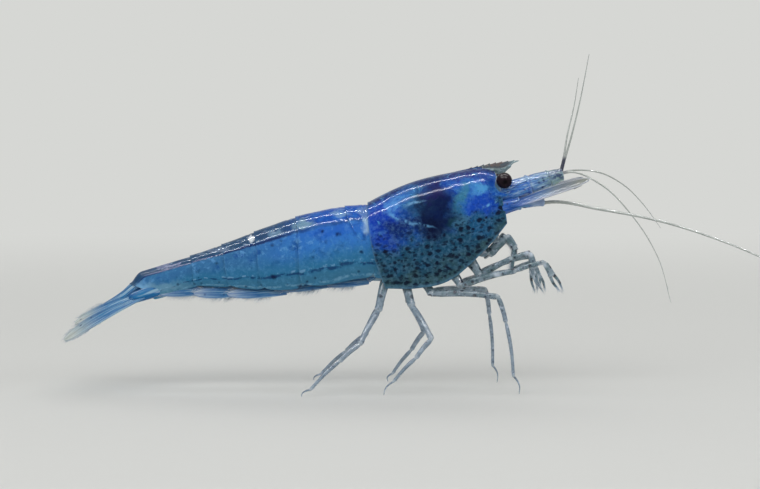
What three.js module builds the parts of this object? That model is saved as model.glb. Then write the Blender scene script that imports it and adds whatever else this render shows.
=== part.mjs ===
// A blue dwarf shrimp standing on its walking legs, as a still, life-size model.
// Millimetres. +X points to the head, +Y to the animal's left and +Z up. The feet stand on z = 0.
// While it is built, x = 0 is the rear edge of the carapace on the back; the last lines centre it.

import * as THREE from 'three';

// Driving dimensions

const gap = 0.1; // clear space between neighbouring plates and at the roots of the limbs
const feelerRadius = 0.25; // a feeler is 0.5 mm thick in the solids
const bladeThickness = 0.5; // tail fan, antennal scales and swimmerets
const modelCentreX = 5.94; // middle of the length, from the tail tip to the end of the feelers

// Each row is one cut across the body: the line of the back and the line of the lower margins in
// side view as [x, z], the half width, and how far the underside is hollowed between the margins.

const carapaceCuts = [
  { back: [0, 10.83], margin: [1.04, 5.93], halfWidth: 1.78, hollow: 0.25 },
  { back: [1.73, 11.75], margin: [2.71, 5.96], halfWidth: 1.95, hollow: 0.25 },
  { back: [4.15, 12.47], margin: [4.84, 6.57], halfWidth: 1.9, hollow: 0.25 },
  { back: [5.5, 12.7], margin: [6.1, 7.25], halfWidth: 1.7, hollow: 0.2 },
  { back: [6.5, 12.82], margin: [7.15, 8.4], halfWidth: 1.38, hollow: 0.1 },
  { back: [7.2, 12.61], margin: [7.89, 9.73], halfWidth: 1.0, hollow: 0.06 },
];

const abdomenCuts = [
  { back: [0, 10.74], margin: [0.92, 6.34], halfWidth: 1.7, hollow: 0.5 },
  { back: [-1.32, 10.63], margin: [-0.23, 6.34], halfWidth: 1.7, hollow: 0.8 },
  { back: [-4.2, 10.02], margin: [-3.23, 5.76], halfWidth: 1.62, hollow: 0.9 },
  { back: [-6.62, 9.16], margin: [-5.76, 5.59], halfWidth: 1.42, hollow: 0.8 },
  { back: [-8.52, 8.41], margin: [-7.72, 5.76], halfWidth: 1.16, hollow: 0.7 },
  { back: [-10.25, 7.78], margin: [-9.62, 5.93], halfWidth: 0.92, hollow: 0.55 },
  { back: [-13.42, 6.8], margin: [-12.33, 5.24], halfWidth: 0.72, hollow: 0.06 },
];

// How far the lower part of each border between somites is swept forwards. The side flap of the
// second somite lies over both of its neighbours, so its two borders sweep away from each other.
const borderSweep = [0, 0.5, -0.5, -0.3, -0.25, -0.15, 0];
const flapRound = 0.22; // rise of a side flap's lower edge at its corners
const rearLift = 0.07; // each plate's rear edge stands this much proud of the next plate

const marginAngle = 140; // degrees from the back round to the lower margin
const flankAngle = 60; // degrees from the back to where the side flaps begin
const sectionSquareness = 0.75; // below 1 the section is fuller than an ellipse
const flapThickness = 0.25;

const eye = { at: [7.77, 1.2, 12.1], radius: 0.45, seat: 0.22 };
const stalkRoot = { at: [7.74, 0.38, 11.98], radius: 0.24 };

// The rostrum starts at a station of the carapace. A tooth's point leads its foot by a share of the
// spacing of the teeth.
const rostrum = {
  start: 2.95, tip: [8.52, 13.25], keel: [7.82, 12.62], hump: 0.07, width: 0.5,
  teeth: 9, toothRise: 0.1, toothLead: 0.75,
};

const antennule = {
  joints: [[7.62, 0.4, 11.36], [9.3, 0.42, 11.95], [10.4, 0.42, 12.32], [11.15, 0.42, 12.52]],
  radii: [0.27, 0.31, 0.29, 0.27],
};
const antenna = {
  joints: [[7.92, 0.6, 10.35], [8.9, 0.66, 10.42], [10.05, 0.74, 10.8]],
  radii: [0.36, 0.34, 0.26],
};
const antennalScale = { root: [8.15, 1.2, 10.86], tip: [12.5, 1.78, 12.27], halfWidth: 0.6, roll: -38 };

// Routes of the feelers, from root to tip, with y counted outwards from the middle plane.
const feelerRoutes = {
  antennule_outer_right: [[11.2, 0.42, 13.15], [11.6, 0.5, 14.6], [12.05, 0.6, 16.5], [12.6, 0.7, 19.4]],
  antennule_outer_left: [[11.2, 0.42, 13.15], [11.5, 0.7, 14.8], [11.9, 1.1, 16.4], [12.2, 1.5, 18.1]],
  antennule_inner_right: [[11.55, 0.42, 12.6], [13.3, 0.6, 11.9], [15.1, 0.9, 10.1], [16.6, 1.3, 7.6],
    [17.3, 1.5, 5.1]],
  antennule_inner_left: [[11.55, 0.42, 12.65], [13.2, 0.8, 12.6], [14.9, 1.6, 11.8], [16.1, 2.4, 10.7],
    [17.3, 3.2, 9.2]],
  antenna_feeler_right: [[10.35, 0.78, 10.85], [13.25, 1.4, 10.48], [16.7, 2.4, 9.8], [20.2, 3.8, 8.64],
    [22.5, 5.0, 7.66], [26, 7.2, 6.4], [29.05, 9.4, 5.7]],
  antenna_feeler_left: [[10.35, 0.8, 10.85], [11.1, 1.7, 10.98], [11.3, 3.2, 10.9], [10.0, 5.3, 10.6],
    [6.8, 7.3, 10.1], [2.4, 8.6, 9.5], [-2.4, 9.3, 8.8], [-7.2, 9.4, 8.2]],
};
const feelerSteps = 15;

// Mouthparts and claw legs. Each limb is a chain of [length, lean, splay] segments: lean is in
// degrees from straight down, forwards positive, and splay in degrees outwards. The hip is [x, y].
const mouthLimbs = {
  maxilliped_right: { hip: [7.05, 0.4], radii: [0.28, 0.29, 0.28, 0.25],
    chain: [[1.24, 137, 0], [0.85, 38, 2], [1.3, -6, 0]] },
  maxilliped_left: { hip: [7.05, 0.4], radii: [0.28, 0.29, 0.28, 0.25],
    chain: [[1.2, 130, 0], [0.95, 34, 3], [1.25, -12, 0]] },
  leg_1_right: { hip: [5.7, 0.95], radii: [0.32, 0.29, 0.27, 0.3, 0.25],
    chain: [[0.7, 75, 12], [2.1, 121, 12], [1.12, 108, 6], [1.9, 14, 0]] },
  leg_1_left: { hip: [5.7, 0.95], radii: [0.32, 0.29, 0.27, 0.3, 0.25],
    chain: [[0.7, 75, 12], [2.1, 112, 12], [1.2, 100, 6], [1.95, 8, 0]] },
  leg_2_right: { hip: [4.55, 1.0], radii: [0.32, 0.29, 0.27, 0.3, 0.25],
    chain: [[0.8, 76, 25], [3.33, 107, 16], [1.7, 107, 4], [1.8, 30, -4]] },
  leg_2_left: { hip: [4.55, 1.0], radii: [0.32, 0.29, 0.27, 0.3, 0.25],
    chain: [[0.8, 76, 25], [3.1, 101, 18], [1.6, 112, 6], [1.75, 20, -4]] },
};

// Walking legs, in the same terms. The last segment reaches down to the floor, so its length follows.
const walkingRadii = [0.34, 0.31, 0.29, 0.27, 0.26, 0.25];
const walkingLegs = {
  leg_3_right: { hip: [2.88, 0.9], chain: [[0.75, 74, 22], [3.95, 89, 18], [1.5, 17, 8], [3.1, 8, 3]],
    dactyl: [18, 0] },
  leg_3_left: { hip: [2.88, 0.9], chain: [[0.75, 74, 22], [3.5, 90, 20], [1.5, 9, 8], [3.1, 4, 3]],
    dactyl: [14, 0] },
  leg_4_right: { hip: [1.92, 0.9], chain: [[1.07, 31, 30], [2.55, 32, 35], [1.38, -40, 10], [1.84, -44, 5]],
    dactyl: [-35, 0] },
  leg_4_left: { hip: [1.92, 0.9], chain: [[1.07, 26, 30], [2.55, 26, 37], [1.38, -34, 10], [1.84, -38, 5]],
    dactyl: [-30, 0] },
  leg_5_right: { hip: [0.96, 0.9], chain: [[1.3, -24, 25], [2.4, -30, 30], [1.56, -51, 20], [2.35, -47, 18]],
    dactyl: [-52, 0] },
  leg_5_left: { hip: [0.96, 0.9], chain: [[1.3, -21, 26], [2.4, -26, 33], [1.56, -48, 20], [2.25, -46, 20]],
    dactyl: [-50, 0] },
};

// Tail fan. The roots lie on the rear face of the sixth somite, at a share of its height. The
// telson is a strap that flattens towards its tip, with its sizes as [half width, half height].
const telson = {
  rootHeight: 0.64,
  line: [[-14.3, 0, 5.5], [-15.4, 0, 4.94], [-16.75, 0, 4.3]],
  sizes: [[0.34, 0.48], [0.36, 0.31], [0.36, 0.25], [0.25, 0.25]],
};
const uropods = {
  uropod_inner: { rootHeight: 0.42, rootOut: 0.52, tip: [-17.15, 1.15, 3.98], halfWidth: 0.34, roll: -10 },
  uropod_outer: { rootHeight: 0.3, rootOut: 0.99, tip: [-17.45, 2.75, 3.1], halfWidth: 0.48, roll: -16 },
};

const swimmeret = {
  count: 5, out: 0.29, place: 0.3, reach: 0.9, longest: 2.5, depth: 0.38, taper: 0.03, below: 0.34,
};

const colours = {
  carapace: 0x1c48b4,
  abdomen: 0x3a80cc,
  fan: 0x8fbce6,
  limb: 0x8fa6bd,
  feeler: 0xb9c4c6,
  eye: 0x2a1420,
  stalk: 0x7d9cc4,
  rostrum: 0x86688a,
};

// Geometry helpers

const degrees = THREE.MathUtils.degToRad;
const lerp = THREE.MathUtils.lerp;

// Closes a stack of rings that all have the same number of points. The two ends are filled by
// cutting the flat outlines startOutline and endOutline into triangles.
function loft(rings, startOutline, endOutline) {
  const count = rings[0].length;
  const positions = rings.flat().flatMap((point) => point.toArray());
  const faces = [];
  for (let row = 0; row < rings.length - 1; row++) {
    for (let i = 0; i < count; i++) {
      const a = row * count + i;
      const b = row * count + (i + 1) % count;
      faces.push([a, b, b + count], [a, b + count, a + count]);
    }
  }
  const lastRow = (rings.length - 1) * count;
  faces.push(...capFaces(startOutline).map(([a, b, c]) => [a, c, b]));
  faces.push(...capFaces(endOutline).map((face) => face.map((i) => i + lastRow)));
  const geometry = new THREE.BufferGeometry();
  geometry.setAttribute('position', new THREE.Float32BufferAttribute(positions, 3));
  geometry.setIndex(outwards(faces, rings.flat()).flat());
  geometry.computeVertexNormals();
  return geometry;
}

// Triangles that fill an outline, turning the same way as the outline does.
function capFaces(outline) {
  const faces = THREE.ShapeUtils.triangulateShape(outline, []);
  const faceTurn = THREE.ShapeUtils.area(faces[0].map((i) => outline[i]));
  const sameTurn = faceTurn * THREE.ShapeUtils.area(outline) > 0;
  return sameTurn ? faces : faces.map(([a, b, c]) => [a, c, b]);
}

// Turns every face round if the enclosed volume comes out negative.
function outwards(faces, points) {
  const volume = faces.reduce((sum, [a, b, c]) => (
    sum + points[a].dot(new THREE.Vector3().crossVectors(points[b], points[c]))
  ), 0);
  return volume > 0 ? faces : faces.map(([a, b, c]) => [a, c, b]);
}

function circleOutline(sides) {
  return Array.from({ length: sides }, (_, i) => {
    const angle = 2 * Math.PI * i / sides;
    return new THREE.Vector2(Math.cos(angle), Math.sin(angle));
  });
}

function named(name, geometry, colour, roughness = 0.3) {
  const material = new THREE.MeshStandardMaterial({ color: colour, roughness, metalness: 0 });
  const mesh = new THREE.Mesh(geometry, material);
  mesh.name = name;
  return mesh;
}

// Body plates

// Smooth rails through the cuts. The result gives the cut at any station, where station 0 is the
// first row and station 1 the second.
function railsThrough(cuts) {
  const curve = (pick) => new THREE.CatmullRomCurve3(cuts.map((cut) => new THREE.Vector3(...pick(cut))));
  const back = curve((cut) => [cut.back[0], 0, cut.back[1]]);
  const margin = curve((cut) => [cut.margin[0], 0, cut.margin[1]]);
  const sizes = curve((cut) => [cut.halfWidth, cut.hollow, 0]);
  return (station) => {
    const t = station / (cuts.length - 1);
    const size = sizes.getPoint(t);
    return { back: back.getPoint(t), margin: margin.getPoint(t), halfWidth: size.x, hollow: size.y };
  };
}

const carapaceAt = railsThrough(carapaceCuts);
const abdomenAt = railsThrough(abdomenCuts);

// The outline of one cut as [out, height, lowness]: out is in millimetres from the middle plane,
// height runs from 0 at the margins to 1 at the back, and lowness is 1 on the side flaps.
function sectionOutline(cut, archSteps) {
  const marginCos = Math.cos(degrees(marginAngle));
  const outline = [];
  for (let i = 0; i <= archSteps; i++) {
    const angle = lerp(-marginAngle, marginAngle, i / archSteps);
    const cos = Math.cos(degrees(angle));
    const sin = Math.sin(degrees(angle));
    const out = cut.halfWidth * Math.sign(sin) * Math.abs(sin) ** sectionSquareness;
    const height = cos > 0 ? 0.5 + 0.5 * cos : 0.5 - 0.5 * cos / marginCos;
    outline.push([out, height, THREE.MathUtils.smoothstep(Math.abs(angle), flankAngle, marginAngle)]);
  }
  const innerOut = outline[archSteps][0] - flapThickness;
  const roof = cut.hollow / cut.back.distanceTo(cut.margin);
  const underside = [[1, 0.1], [0.85, 0.8], [0, 1], [-0.85, 0.8], [-1, 0.1]];
  underside.forEach(([share, rise]) => outline.push([share * innerOut, rise * roof, 1]));
  return outline;
}

// Rings of points from one station to another. bend gives [forwards, up, swell] in millimetres for
// a point, from its share of the way along and its lowness.
function plateRings(cutAt, from, to, steps, archSteps, bend) {
  return Array.from({ length: steps + 1 }, (_, row) => {
    const share = row / steps;
    const cut = cutAt(lerp(from, to, share));
    return sectionOutline(cut, archSteps).map(([out, height, lowness]) => {
      const [forwards, up, swell] = bend(share, lowness);
      const grown = 1 + swell / cut.halfWidth;
      const point = cut.margin.clone().lerp(cut.back, height * (1 + swell * height / 4));
      return new THREE.Vector3(point.x + forwards, out * grown, point.z + up);
    });
  });
}

function plateGeometry(rings) {
  const outline = (ring) => ring.map((point) => new THREE.Vector2(point.y, point.z));
  return loft(rings, outline(rings[0]), outline(rings.at(-1)));
}

function makeCarapace() {
  const bend = (share) => [lerp(gap, 0, share), 0, 0];
  const rings = plateRings(carapaceAt, 0, carapaceCuts.length - 1, 12, 24, bend);
  return named('carapace', plateGeometry(rings), colours.carapace);
}

function makeSomite(number) {
  const bend = (share, lowness) => {
    const sweep = lerp(borderSweep[number - 1], borderSweep[number], share);
    const spacing = lerp(-gap / 2, gap / 2, share);
    const corner = number < 6 ? flapRound * (1 - Math.sin(Math.PI * share)) : 0;
    return [spacing + sweep * lowness, corner * lowness, rearLift * share ** 3];
  };
  const rings = plateRings(abdomenAt, number - 1, number, 4, 20, bend);
  return named(`abdomen_${number}`, plateGeometry(rings), colours.abdomen);
}

// Rostrum: a thin upright blade along the middle of the carapace's front. Its upper edge is a row
// of forward teeth, its lower edge a keel, and behind the keel it sits along the carapace's back.
function makeRostrum() {
  const { start, tip: [tipX, tipZ], keel, teeth, toothRise, toothLead, hump, width } = rostrum;
  const lastStation = carapaceCuts.length - 1;
  const backLine = Array.from({ length: 9 }, (_, i) => carapaceAt(lerp(start, lastStation, i / 8)).back);
  const rear = backLine[0];
  const edge = (share, rise) => [
    lerp(rear.x, tipX, share),
    lerp(rear.z + gap, tipZ, share) + hump * Math.sin(Math.PI * share) + rise,
  ];
  const shape = new THREE.Shape();
  shape.moveTo(rear.x, rear.z + gap);
  for (let tooth = 0; tooth < teeth; tooth++) {
    const foot = (tooth + 0.5) / teeth;
    shape.lineTo(...edge(foot, 0));
    if (tooth < teeth - 1) {
      shape.lineTo(...edge(foot + toothLead / teeth, toothRise * (1 - 0.5 * foot)));
    }
  }
  shape.lineTo(tipX, tipZ);
  shape.quadraticCurveTo(tipX - 0.45, tipZ - 0.22, ...keel);
  backLine.slice(1).reverse().forEach((point) => shape.lineTo(point.x, point.z + gap));
  const geometry = new THREE.ExtrudeGeometry(shape, { depth: width, bevelEnabled: false, curveSegments: 5 });
  const mesh = named('rostrum', geometry, colours.rostrum);
  mesh.rotation.x = Math.PI / 2;
  mesh.position.y = width / 2;
  return mesh;
}

// Eyes

// A ball with a flat seat on the side of the stalk, turned about +Y and then aimed along its stalk.
function makeEye(name, side) {
  const centre = new THREE.Vector3(eye.at[0], side * eye.at[1], eye.at[2]);
  const root = new THREE.Vector3(stalkRoot.at[0], side * stalkRoot.at[1], stalkRoot.at[2]);
  const aim = centre.clone().sub(root).normalize();
  const seatAngle = Math.acos(-eye.seat / eye.radius);
  const profile = [new THREE.Vector2(0, -eye.seat)];
  const steps = 9;
  for (let i = 0; i < steps; i++) {
    const angle = seatAngle * (1 - i / steps);
    profile.push(new THREE.Vector2(eye.radius * Math.sin(angle), eye.radius * Math.cos(angle)));
  }
  profile.push(new THREE.Vector2(0, eye.radius));
  const mesh = named(`eye_${name}`, new THREE.LatheGeometry(profile, 16), colours.eye, 0.08);
  mesh.position.copy(centre);
  mesh.quaternion.setFromUnitVectors(new THREE.Vector3(0, 1, 0), aim);
  return mesh;
}

function makeStalk(name, side) {
  const centre = new THREE.Vector3(eye.at[0], side * eye.at[1], eye.at[2]);
  const root = new THREE.Vector3(stalkRoot.at[0], side * stalkRoot.at[1], stalkRoot.at[2]);
  const aim = centre.clone().sub(root);
  const length = aim.length() - eye.seat - gap / 2;
  const endRadius = Math.sqrt(eye.radius ** 2 - eye.seat ** 2) - 0.03;
  const geometry = new THREE.CylinderGeometry(endRadius, stalkRoot.radius, length, 14);
  const mesh = named(`eye_stalk_${name}`, geometry, colours.stalk);
  mesh.position.copy(root).addScaledVector(aim.normalize(), length / 2);
  mesh.quaternion.setFromUnitVectors(new THREE.Vector3(0, 1, 0), aim);
  return mesh;
}

// Limbs

const limbSides = 8;

// A ring round a point of a limb, a circle unless height differs from the radius. The first point
// of each ring lies towards +Y, so rings line up.
function limbRing(centre, normal, radius, height = radius) {
  const across = new THREE.Vector3(0, 1, 0);
  across.addScaledVector(normal, -across.dot(normal)).normalize();
  const upright = new THREE.Vector3().crossVectors(normal, across);
  return circleOutline(limbSides).map(({ x, y }) => (
    centre.clone().addScaledVector(across, radius * x).addScaledVector(upright, height * y)
  ));
}

// A jointed limb: a ring at each joint and a slimmer one midway along each segment. Its first and
// last rings face along startNormal and endNormal.
function limbGeometry(joints, radii, startNormal, endNormal) {
  const along = (i) => joints[i + 1].clone().sub(joints[i]).normalize();
  const rings = [];
  joints.forEach((joint, i) => {
    const last = i === joints.length - 1;
    let normal = startNormal ?? along(0);
    if (i > 0) {
      normal = last ? endNormal ?? along(i - 1) : along(i - 1).add(along(i)).normalize();
    }
    rings.push(limbRing(joint, normal, radii[i]));
    if (!last) {
      const middle = joint.clone().lerp(joints[i + 1], 0.5);
      rings.push(limbRing(middle, along(i), 0.47 * (radii[i] + radii[i + 1])));
    }
  });
  return loft(rings, circleOutline(limbSides), circleOutline(limbSides));
}

// Height of the carapace's lower margin at a given x.
function marginHeight(x) {
  let low = 0;
  let high = carapaceCuts.length - 1;
  for (let i = 0; i < 20; i++) {
    const middle = (low + high) / 2;
    if (carapaceAt(middle).margin.x < x) {
      low = middle;
    } else {
      high = middle;
    }
  }
  return carapaceAt(low).margin.z;
}

function segmentStep([length, lean, splay], side) {
  const flat = length * Math.cos(degrees(splay));
  return new THREE.Vector3(
    flat * Math.sin(degrees(lean)),
    side * length * Math.sin(degrees(splay)),
    -flat * Math.cos(degrees(lean)),
  );
}

// The joints of a chain of segments that hangs under the carapace at hip = [x, out].
function chainJoints(hip, chain, side, hipRadius) {
  const slope = (marginHeight(hip[0] + hipRadius) - marginHeight(hip[0] - hipRadius)) / 2;
  const hipHeight = marginHeight(hip[0]) - Math.abs(slope) - gap;
  const joints = [new THREE.Vector3(hip[0], side * hip[1], hipHeight)];
  chain.forEach((segment) => joints.push(joints.at(-1).clone().add(segmentStep(segment, side))));
  return joints;
}

const sideOf = (name) => (name.endsWith('left') ? 1 : -1);
const down = new THREE.Vector3(0, 0, -1);

function makeMouthLimb(name) {
  const { hip, chain, radii } = mouthLimbs[name];
  const joints = chainJoints(hip, chain, sideOf(name), radii[0]);
  return named(name, limbGeometry(joints, radii, down), colours.limb);
}

// A walking leg, whose last ring lies flat on the floor.
function makeWalkingLeg(name) {
  const { hip, chain, dactyl } = walkingLegs[name];
  const side = sideOf(name);
  const joints = chainJoints(hip, chain, side, walkingRadii[0]);
  const wrist = joints.at(-1);
  const [lean, splay] = dactyl;
  const length = wrist.z / (Math.cos(degrees(lean)) * Math.cos(degrees(splay)));
  const foot = wrist.clone().add(segmentStep([length, lean, splay], side));
  foot.z = 0;
  joints.push(foot);
  return named(name, limbGeometry(joints, walkingRadii, down, down), colours.limb);
}

function makeChain(name, { joints, radii }, side) {
  const points = joints.map(([x, out, z]) => new THREE.Vector3(x, side * out, z));
  return named(name, limbGeometry(points, radii), colours.limb);
}

function makeFeeler(name) {
  const side = sideOf(name);
  const route = feelerRoutes[name].map(([x, out, z]) => new THREE.Vector3(x, side * out, z));
  const outline = circleOutline(limbSides).map((point) => point.multiplyScalar(feelerRadius));
  const section = new THREE.Shape(outline);
  const geometry = new THREE.ExtrudeGeometry(section, {
    extrudePath: new THREE.CatmullRomCurve3(route), steps: feelerSteps, bevelEnabled: false,
  });
  return named(name, geometry, colours.feeler);
}

// Blades

// A leaf-shaped plate along +X from its root, widest at two fifths of its length. Its outer edge,
// on the side of +Y times side, is straight up to a blunt corner when cornered is true.
function bladeGeometry(length, halfWidth, side, cornered) {
  const shape = new THREE.Shape();
  const rootWidth = 0.45 * halfWidth;
  shape.moveTo(0, -side * rootWidth);
  shape.bezierCurveTo(
    0.2 * length, -side * 1.25 * halfWidth, 0.8 * length, -side * 1.2 * halfWidth, length, 0,
  );
  if (cornered) {
    shape.lineTo(0.93 * length, side * 0.62 * halfWidth);
    shape.lineTo(0.2 * length, side * 0.85 * halfWidth);
  } else {
    shape.bezierCurveTo(
      0.8 * length, side * 1.2 * halfWidth, 0.2 * length, side * 1.25 * halfWidth, 0, side * rootWidth,
    );
  }
  const geometry = new THREE.ExtrudeGeometry(shape, {
    depth: bladeThickness, bevelEnabled: false, curveSegments: 8,
  });
  return geometry.translate(0, 0, -bladeThickness / 2);
}

// Lays a blade from root to tip. roll, in degrees, lifts its outer edge.
function placeBlade(mesh, root, tip, roll, side) {
  const along = tip.clone().sub(root).normalize();
  const outwardsFlat = new THREE.Vector3(0, side, 0);
  outwardsFlat.addScaledVector(along, -outwardsFlat.dot(along)).normalize();
  const upright = new THREE.Vector3(0, 0, 1);
  upright.addScaledVector(along, -upright.dot(along)).normalize();
  const wide = outwardsFlat.multiplyScalar(Math.cos(degrees(roll)));
  wide.addScaledVector(upright, Math.sin(degrees(roll))).multiplyScalar(side);
  const thick = new THREE.Vector3().crossVectors(along, wide);
  mesh.quaternion.setFromRotationMatrix(new THREE.Matrix4().makeBasis(along, wide, thick));
  mesh.position.copy(root);
}

function makeScale(name, side) {
  const [rootX, rootOut, rootZ] = antennalScale.root;
  const [tipX, tipOut, tipZ] = antennalScale.tip;
  const root = new THREE.Vector3(rootX, side * rootOut, rootZ);
  const tip = new THREE.Vector3(tipX, side * tipOut, tipZ);
  const geometry = bladeGeometry(root.distanceTo(tip), antennalScale.halfWidth, side, true);
  const mesh = named(`antennal_scale_${name}`, geometry, colours.fan);
  placeBlade(mesh, root, tip, antennalScale.roll, side);
  return mesh;
}

// The way straight back from the rear face of the sixth somite.
function tailDirection() {
  const { back, margin } = abdomenAt(abdomenCuts.length - 1);
  return new THREE.Vector3(margin.z - back.z, 0, back.x - margin.x).normalize();
}

// A point clear of that face by a distance, at a share of the face's height.
function tailRoot(height, out, distance) {
  const { back, margin } = abdomenAt(abdomenCuts.length - 1);
  const point = margin.clone().lerp(back, height).addScaledVector(tailDirection(), distance);
  point.y = out;
  return point;
}

function makeTelson() {
  const points = [tailRoot(telson.rootHeight, 0, gap), ...telson.line.map((at) => new THREE.Vector3(...at))];
  const rings = points.map((point, i) => {
    const ahead = points[Math.min(i + 1, points.length - 1)];
    const behind = points[Math.max(i - 1, 0)];
    const normal = i === 0 ? tailDirection() : ahead.clone().sub(behind).normalize();
    return limbRing(point, normal, ...telson.sizes[i]);
  });
  const outline = circleOutline(limbSides);
  return named('telson', loft(rings, outline, outline), colours.fan);
}

function makeUropod(kind, name, side) {
  const { rootHeight, rootOut, tip, halfWidth, roll } = uropods[kind];
  const root = tailRoot(rootHeight, side * rootOut, 2 * gap);
  const end = new THREE.Vector3(tip[0], side * tip[1], tip[2]);
  const geometry = bladeGeometry(root.distanceTo(end), halfWidth, side, false);
  const mesh = named(`${kind}_${name}`, geometry, colours.fan);
  placeBlade(mesh, root, end, roll, side);
  return mesh;
}

// Swimmerets: upright paddles folded back under each somite, showing just below its side flaps.
// Each reaches back a share of the way to the next one's root, and each is less deep than the last.
function makeSwimmeret(number, name, side) {
  const root = abdomenAt(number - 1 + swimmeret.place).margin;
  const next = abdomenAt(Math.min(number + swimmeret.place, abdomenCuts.length - 1.2)).margin;
  const tip = root.clone();
  tip.x -= Math.min(swimmeret.longest, swimmeret.reach * (root.x - next.x));
  tip.z = lerp(root.z, next.z, 0.5) - swimmeret.below;
  root.y = side * swimmeret.out;
  tip.y = root.y;
  const depth = swimmeret.depth - swimmeret.taper * number;
  const geometry = bladeGeometry(root.distanceTo(tip), depth, side, false);
  const mesh = named(`swimmeret_${number}_${name}`, geometry, colours.fan);
  placeBlade(mesh, root, tip, 90, side);
  return mesh;
}

// The whole animal

const shrimp = new THREE.Group();
const sides = { right: -1, left: 1 };

shrimp.add(makeCarapace(), makeRostrum(), makeTelson());
for (let number = 1; number <= 6; number++) {
  shrimp.add(makeSomite(number));
}
Object.keys(mouthLimbs).forEach((name) => shrimp.add(makeMouthLimb(name)));
Object.keys(walkingLegs).forEach((name) => shrimp.add(makeWalkingLeg(name)));
Object.keys(feelerRoutes).forEach((name) => shrimp.add(makeFeeler(name)));
Object.entries(sides).forEach(([name, side]) => {
  shrimp.add(makeEye(name, side), makeStalk(name, side), makeScale(name, side));
  shrimp.add(makeChain(`antennule_base_${name}`, antennule, side));
  shrimp.add(makeChain(`antenna_base_${name}`, antenna, side));
  Object.keys(uropods).forEach((kind) => shrimp.add(makeUropod(kind, name, side)));
  for (let number = 1; number <= swimmeret.count; number++) {
    shrimp.add(makeSwimmeret(number, name, side));
  }
});
shrimp.position.x = -modelCentreX;

export default shrimp;
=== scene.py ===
import bpy
import numpy as np
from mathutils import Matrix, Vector


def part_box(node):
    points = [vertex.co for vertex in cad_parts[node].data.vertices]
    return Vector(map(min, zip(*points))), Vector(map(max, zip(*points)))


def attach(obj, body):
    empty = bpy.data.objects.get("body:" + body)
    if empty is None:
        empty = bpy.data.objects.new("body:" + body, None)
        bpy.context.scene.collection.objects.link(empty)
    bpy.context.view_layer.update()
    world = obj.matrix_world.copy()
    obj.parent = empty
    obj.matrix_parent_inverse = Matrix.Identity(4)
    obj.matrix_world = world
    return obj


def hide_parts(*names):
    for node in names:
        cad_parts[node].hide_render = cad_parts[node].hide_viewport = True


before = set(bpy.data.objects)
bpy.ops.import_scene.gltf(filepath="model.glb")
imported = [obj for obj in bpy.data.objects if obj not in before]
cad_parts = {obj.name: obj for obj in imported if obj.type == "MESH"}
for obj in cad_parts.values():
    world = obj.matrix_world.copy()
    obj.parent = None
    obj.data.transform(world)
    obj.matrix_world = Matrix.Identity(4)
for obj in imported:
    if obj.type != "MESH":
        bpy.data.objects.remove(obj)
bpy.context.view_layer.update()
print("frame loaded with", len(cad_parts), "CAD nodes")

# Lengths below are millimetres in the builder's frame: x = 0 is the carapace's rear edge on the back,
# +x runs to the head, +y to the animal's left and z = 0 is the floor. toScene() moves them into the
# CAD frame, in metres.

millimetre = 0.001
sides = {"right": -1, "left": 1}

bodyShape = {
    # across the body, rear to front: back x, back z, lower margin x, lower margin z, half width
    "carapace": [
        [0, 10.83, 1.04, 5.93, 1.78],
        [1.73, 11.75, 2.71, 5.96, 1.95],
        [4.15, 12.47, 4.84, 6.57, 1.9],
        [5.5, 12.7, 6.05, 7.6, 1.7],
        [6.5, 12.82, 7.15, 8.72, 1.38],
        [7.2, 12.61, 7.95, 9.66, 1.0],
    ],
    # front to rear, the borders of the six somites
    "abdomen": [
        [0, 10.74, 0.92, 6.5, 1.7],
        [-1.32, 10.63, -0.23, 6.52, 1.7],
        [-4.2, 10.02, -3.23, 5.98, 1.62],
        [-6.62, 9.16, -5.76, 5.8, 1.42],
        [-8.52, 8.41, -7.72, 5.93, 1.16],
        [-10.25, 7.78, -9.62, 6.0, 0.92],
        [-13.95, 6.63, -12.4, 5.2, 0.68],
    ],
    "marginAngle": 140,  # degrees from the back round to the lower margin
    "squareness": 0.75,  # below 1 the flanks are fuller than an ellipse
    "frontX": 7.89,  # the foremost point of the shell, in the frame these rows are set in
}

# The carapace's foremost point is known in both frames, which gives the shift between them.
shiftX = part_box("carapace")[1].x / millimetre - bodyShape["frontX"]


def mirrored(points, side):
    # a place that is given for the left side, on the side asked for
    return np.array(points) * [1, side, 1]


def toScene(points):
    # from the builder's millimetres to the scene's metres
    return (points + [shiftX, 0, 0]) * millimetre


def unit(vectors):
    # each vector divided by its length
    return vectors / np.maximum(np.linalg.norm(vectors, axis=-1, keepdims=True), 1e-12)


def smoothStep(low, high, x):
    # 3t^2 - 2t^3, where t runs from 0 at low to 1 at high
    t = np.clip((x - low) / (high - low), 0, 1)
    return t * t * (3 - 2 * t)


def hump(x, centre, width):
    # a bell of height 1 at the centre
    return np.exp(-((x - centre) / width) ** 2)


def ripple(points, wavelength, seed):
    # the mean of eight sine waves that run in random directions, each about one wavelength long
    chance = np.random.default_rng(seed)
    pitch = wavelength * chance.uniform(0.7, 1.4, (8, 1))
    ways = unit(chance.normal(size=(8, 3))) * 2 * np.pi / pitch
    return np.sin(points @ ways.T + chance.uniform(0, 2 * np.pi, 8)).mean(-1)


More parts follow.
